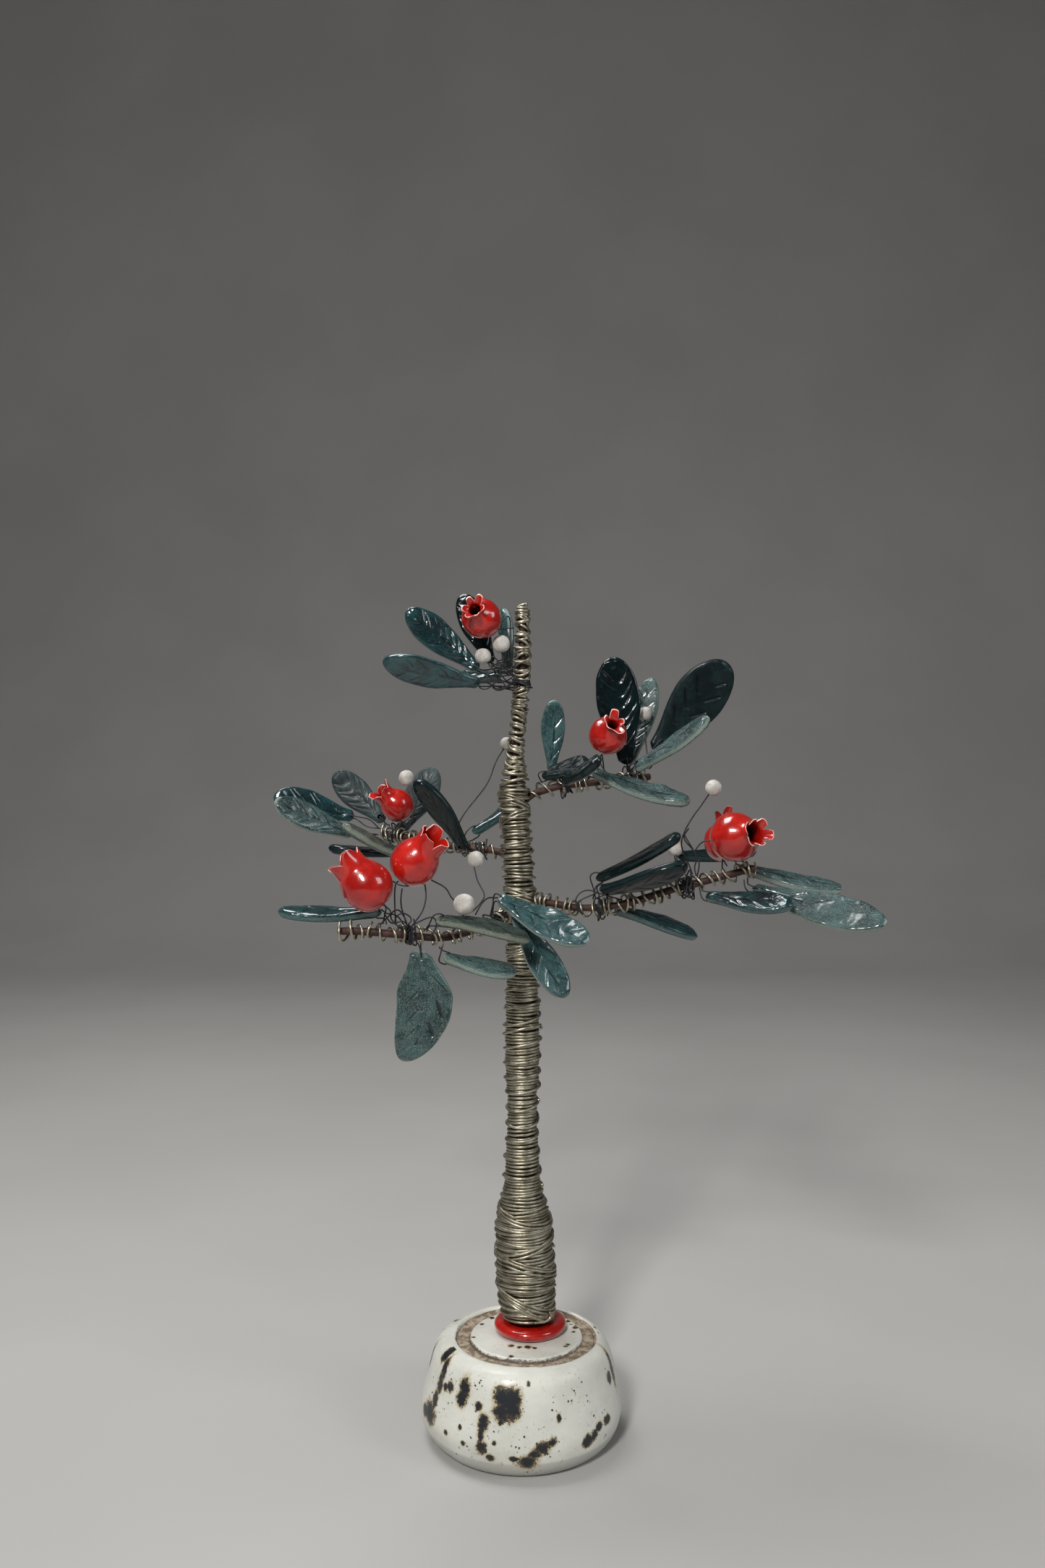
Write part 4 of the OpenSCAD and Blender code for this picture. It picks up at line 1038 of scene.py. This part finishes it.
def stem(item, seed, out=0.0, sway=0.3, route=()):
    """A wire from the line to the foot of a fruit or a berry, by way of the points of its route."""
    away = -unit(item.way) if isinstance(item, Fruit) else unit(item.way)
    foot = np.array(item.centre) + (FRUIT_FOOT if isinstance(item, Fruit) else 1) * item.r * away
    start = tie_off(item.line, np.array(route[0] if route else foot, float), 0.0, out)
    return strand([start, *route, foot + 4 * away, foot + 2 * away, foot - 1.2 * away], seed, sway)


def knot(name, s, reach, seed, loops):
    """Turns of black wire round a line at distance s, and a tangle of loops beside them."""
    line = LINES[name]
    reach = min(reach, 1.9 * (lengths(line)[-1] - s - 0.6))
    turns, steps = 3, 18
    n = turns * steps
    c = at(line, np.linspace(s - 0.9, s + 0.9, n))
    _, u, v = frames(c)
    a = np.arange(n) * 2 * np.pi / steps
    rad = held_r(name) + 0.15 + 0.3 * wander(n, 0.05, seed)
    ring = round_line(c, rad, a, u, v)
    t = direction(line, s)
    u = square_to([0.1, -0.3, 1], t)
    v = np.cross(t, u)
    local = np.random.default_rng(seed)
    tangle = []
    for k in range(loops):
        turn = k * 2.4 + local.normal() * 0.5
        r = held_r(name) + 0.6 + local.random() * reach * 0.45
        along = (local.random() - 0.5) * reach
        tangle.append(at(line, s) + along * t + r * (math.cos(turn) * u + math.sin(turn) * v))
    # deep=0.3 paints a faint shade on the knot's turns
    return [part(tube(ring, TIE_R, 7), BLACK, deep=0.3), strand(tangle, seed + 40, 0.3, TIE_R, 12)]


def ties(name, knots, extra=()):
    """All the black wire on a line: knots, ties of leaves, stems of fruits and berries, and more strands."""
    parts = []
    for i, (s, reach, loops) in enumerate(knots):
        parts += knot(name, s, reach, 200 + 13 * i + len(name), loops)
    parts += [leaf_tie(leaf, 300 + i * 5) for i, leaf in enumerate(LEAVES) if leaf.line == name]
    for i, fruit in enumerate(FRUITS):
        if fruit.line == name and fruit.node != "fruit_front_right":
            parts.append(stem(fruit, 500 + i * 5))
    for i, berry in enumerate(BERRIES):
        if berry.line == name and berry.node == "berries":
            parts.append(stem(berry, 600 + i * 5))
    parts += [strand(points, 700 + 5 * i, 0.35) for i, points in enumerate(extra)]
    piece("binding_" + name, ["tie_top" if name == "tip" else "tie_" + name], parts)


# Distance along the line, reach and loops of each knot, then the strands that cross between them
ties("tip", [(41.5, 4, 7)], [
    [(-2, -3, 260), (-5, -6, 257), (-9, -8, 255), (-13, -9, 257), (-12, -8, 260), (-8, -7, 259),
     (-6, -7, 255.5), (-3, -3, 256)],
    [(-2, -3, 259), (-6, -7, 255.5), (-10, -9, 254.5), (-12, -9, 256.5), (-9, -8, 258.5), (-4, -5, 257),
     (-2, 0, 258)],
    [(-3, -2, 258), (-9, -8, 258), (-14, -10, 254.5), (-17, -10, 255.5), (-16, -9, 259), (-11, -8, 262),
     (-5, -4, 261)],
    [(-3, 0, 264), (-7, -5, 267), (-10, -8, 265), (-8, -8, 260), (-4, -4, 257)],
    [(-3, -2, 260), (-7, -7, 264), (-11, -8, 268), (-13, -8, 265), (-9, -8, 261), (-4, -4, 262)],
    [(-3, -2, 262), (-5, -4, 266), (-8, -6, 268), (-6, -6, 263), (-9, -7, 262), (-12, -7, 264),
     (-6, -4, 266), (-3, 0, 260)],
    [(-8, -10, 281), (-5, -7, 284), (-4.5, -5, 278), (-5, -5, 272), (-4, -4, 265)]])
ties("middle_left", [(17.5, 5, 8), (61, 6, 12)])
ties("upper_right", [(23.5, 5, 8), (51, 5, 12)], [
    [(44, 8, 222), (38, 4, 221), (33, 3, 223), (31, 4, 228), (33, 5, 231)],
    [(47, 10, 223), (50, 6, 228), (54, 6, 234), (57, 8, 236), (56, 9, 231), (51, 10, 226)]])
ties("lower_right", [(35.5, 5, 9), (69.5, 8, 16)], [
    [(39, -11, 173), (32, -12, 175), (25, -12, 177), (21, -13, 174), (22, -12, 169), (24, -11, 167),
     (22, -10, 172), (30, -10, 176)],
    [(67, -19, 181), (66, -18, 186), (67, -19, 190), (64, -18, 195), (62, -17, 199)],
    [(67, -17, 182), (68, -18, 188), (66, -16, 192), (62, -16, 197), (64, -17, 201)],
    [(66, -18, 192), (69, -20, 196.5), (73, -21, 196.5), (76, -22, 196)]])
ties("lower_left", [(17.5, 5, 8), (61.5, 7, 9)], [
    [(-41, -41, 163), (-44, -42, 174), (-43.5, -41, 180)],
    [(-42, -42, 164), (-37, -43, 170), (-35, -42, 176), (-35.5, -40, 183)],
    [(-48, -44, 184), (-44, -45, 181.5), (-40, -44, 181), (-38, -43, 184)],
    [(-42, -41, 164.5), (-38, -43, 168), (-32, -43, 170), (-31, -42, 166), (-33, -41, 163)],
    [(-41, -41, 163), (-46, -43, 168), (-43, -44, 171.5), (-39.5, -42, 168.5), (-44, -44, 166),
     (-48, -43, 169.5), (-45, -42, 172.5), (-41.5, -43, 167), (-43, -42, 162.5)],
    [(-42, -41, 165), (-45.5, -42, 170.5), (-49, -42, 171), (-51, -41.5, 172.5)],
    [(-50, -42, 171), (-47, -43, 167.5), (-43, -43, 168.5), (-40, -41, 164)],
    [(-33, -40, 183), (-28, -39, 180), (-25.5, -39, 176), (-22, -39, 174)],
    [(-18.5, -9, 185.5), (-16.5, -22, 180), (-14, -30, 176), (-17, -36, 172), (-20, -39, 170.5)],
    [(-9, -18, 174.5), (-12, -25, 175), (-15, -30, 173.5), (-17, -36, 170)]])

for item, seed in ((FRUITS[1], 811), (BERRIES[7], 821), (BERRIES[8], 831)):
    node = "stem_" + item.node
    piece("stem_wire_" + node, [node], [stem(item, seed, 0.35, 0.4, getattr(item, "route", ()))])


# ---- stage, lights, camera

def stage():
    """A paper sweep: flat under the base, curved up behind it."""
    s = Shader("paper", (0.40, 0.39, 0.375))
    s.over((0.43, 0.42, 0.405), s.noise(0.004, 3, 0.5), 0.3, 0.7)
    bend = [(1.2 + 0.9 * math.sin(t), 0.9 - 0.9 * math.cos(t)) for t in np.linspace(0, math.pi / 2, 24)]
    prof = [(-3.0, 0)] + bend + [(2.1, 3.2)]
    half_width, gap = 4.0, 0.0002
    v = [(x, y, z - gap) for y, z in prof for x in (-half_width, half_width)]
    f = [(2 * i, 2 * i + 1, 2 * i + 3, 2 * i + 2) for i in range(len(prof) - 1)]
    mesh = new_mesh("floor", v, f)
    smooth(mesh)
    mesh.materials.append(s.finished(Roughness=0.8, Normal=s.bump(s.noise(0.8, 4, 0.6), 0.05, 0.2)))
    new_object("floor", mesh)


def light(name, place, target, size, power, color):
    d = bpy.data.lights.new(name, "AREA")
    d.shape, d.size, d.size_y, d.energy, d.color = "RECTANGLE", size[0], size[1], power, color
    o = new_object(name, d)
    o.location = place
    o.rotation_euler = (Vector(target) - Vector(place)).to_track_quat("-Z", "Y").to_euler()


stage()
light("key", (-0.35, -1.15, 1.0), (0, 0, 0.2), (0.2, 0.26), 17, (1.0, 0.985, 0.96))
light("fill", (0.95, -0.55, 0.75), (0, 0, 0.2), (0.4, 0.5), 3.5, (0.94, 0.97, 1.0))
light("top", (-0.3, 0.15, 1.2), (0, 0, 0.1), (0.5, 0.5), 9, (1.0, 1.0, 1.0))
world = bpy.data.worlds.new("studio")
world.use_nodes = True
world.node_tree.nodes["Background"].inputs[0].default_value = (0.55, 0.56, 0.58, 1)
world.node_tree.nodes["Background"].inputs[1].default_value = 0.15
bpy.context.scene.world = world

camera = new_object("camera", bpy.data.cameras.new("camera"))
camera.data.sensor_fit = "VERTICAL"
camera.data.sensor_height = 36
camera.data.lens = 28.83
camera.location = (0.0003, -0.498, 0.256)
camera.rotation_euler = (math.pi / 2, 0, 0)
bpy.context.scene.camera = camera
bpy.context.scene.view_settings.view_transform = "Standard"
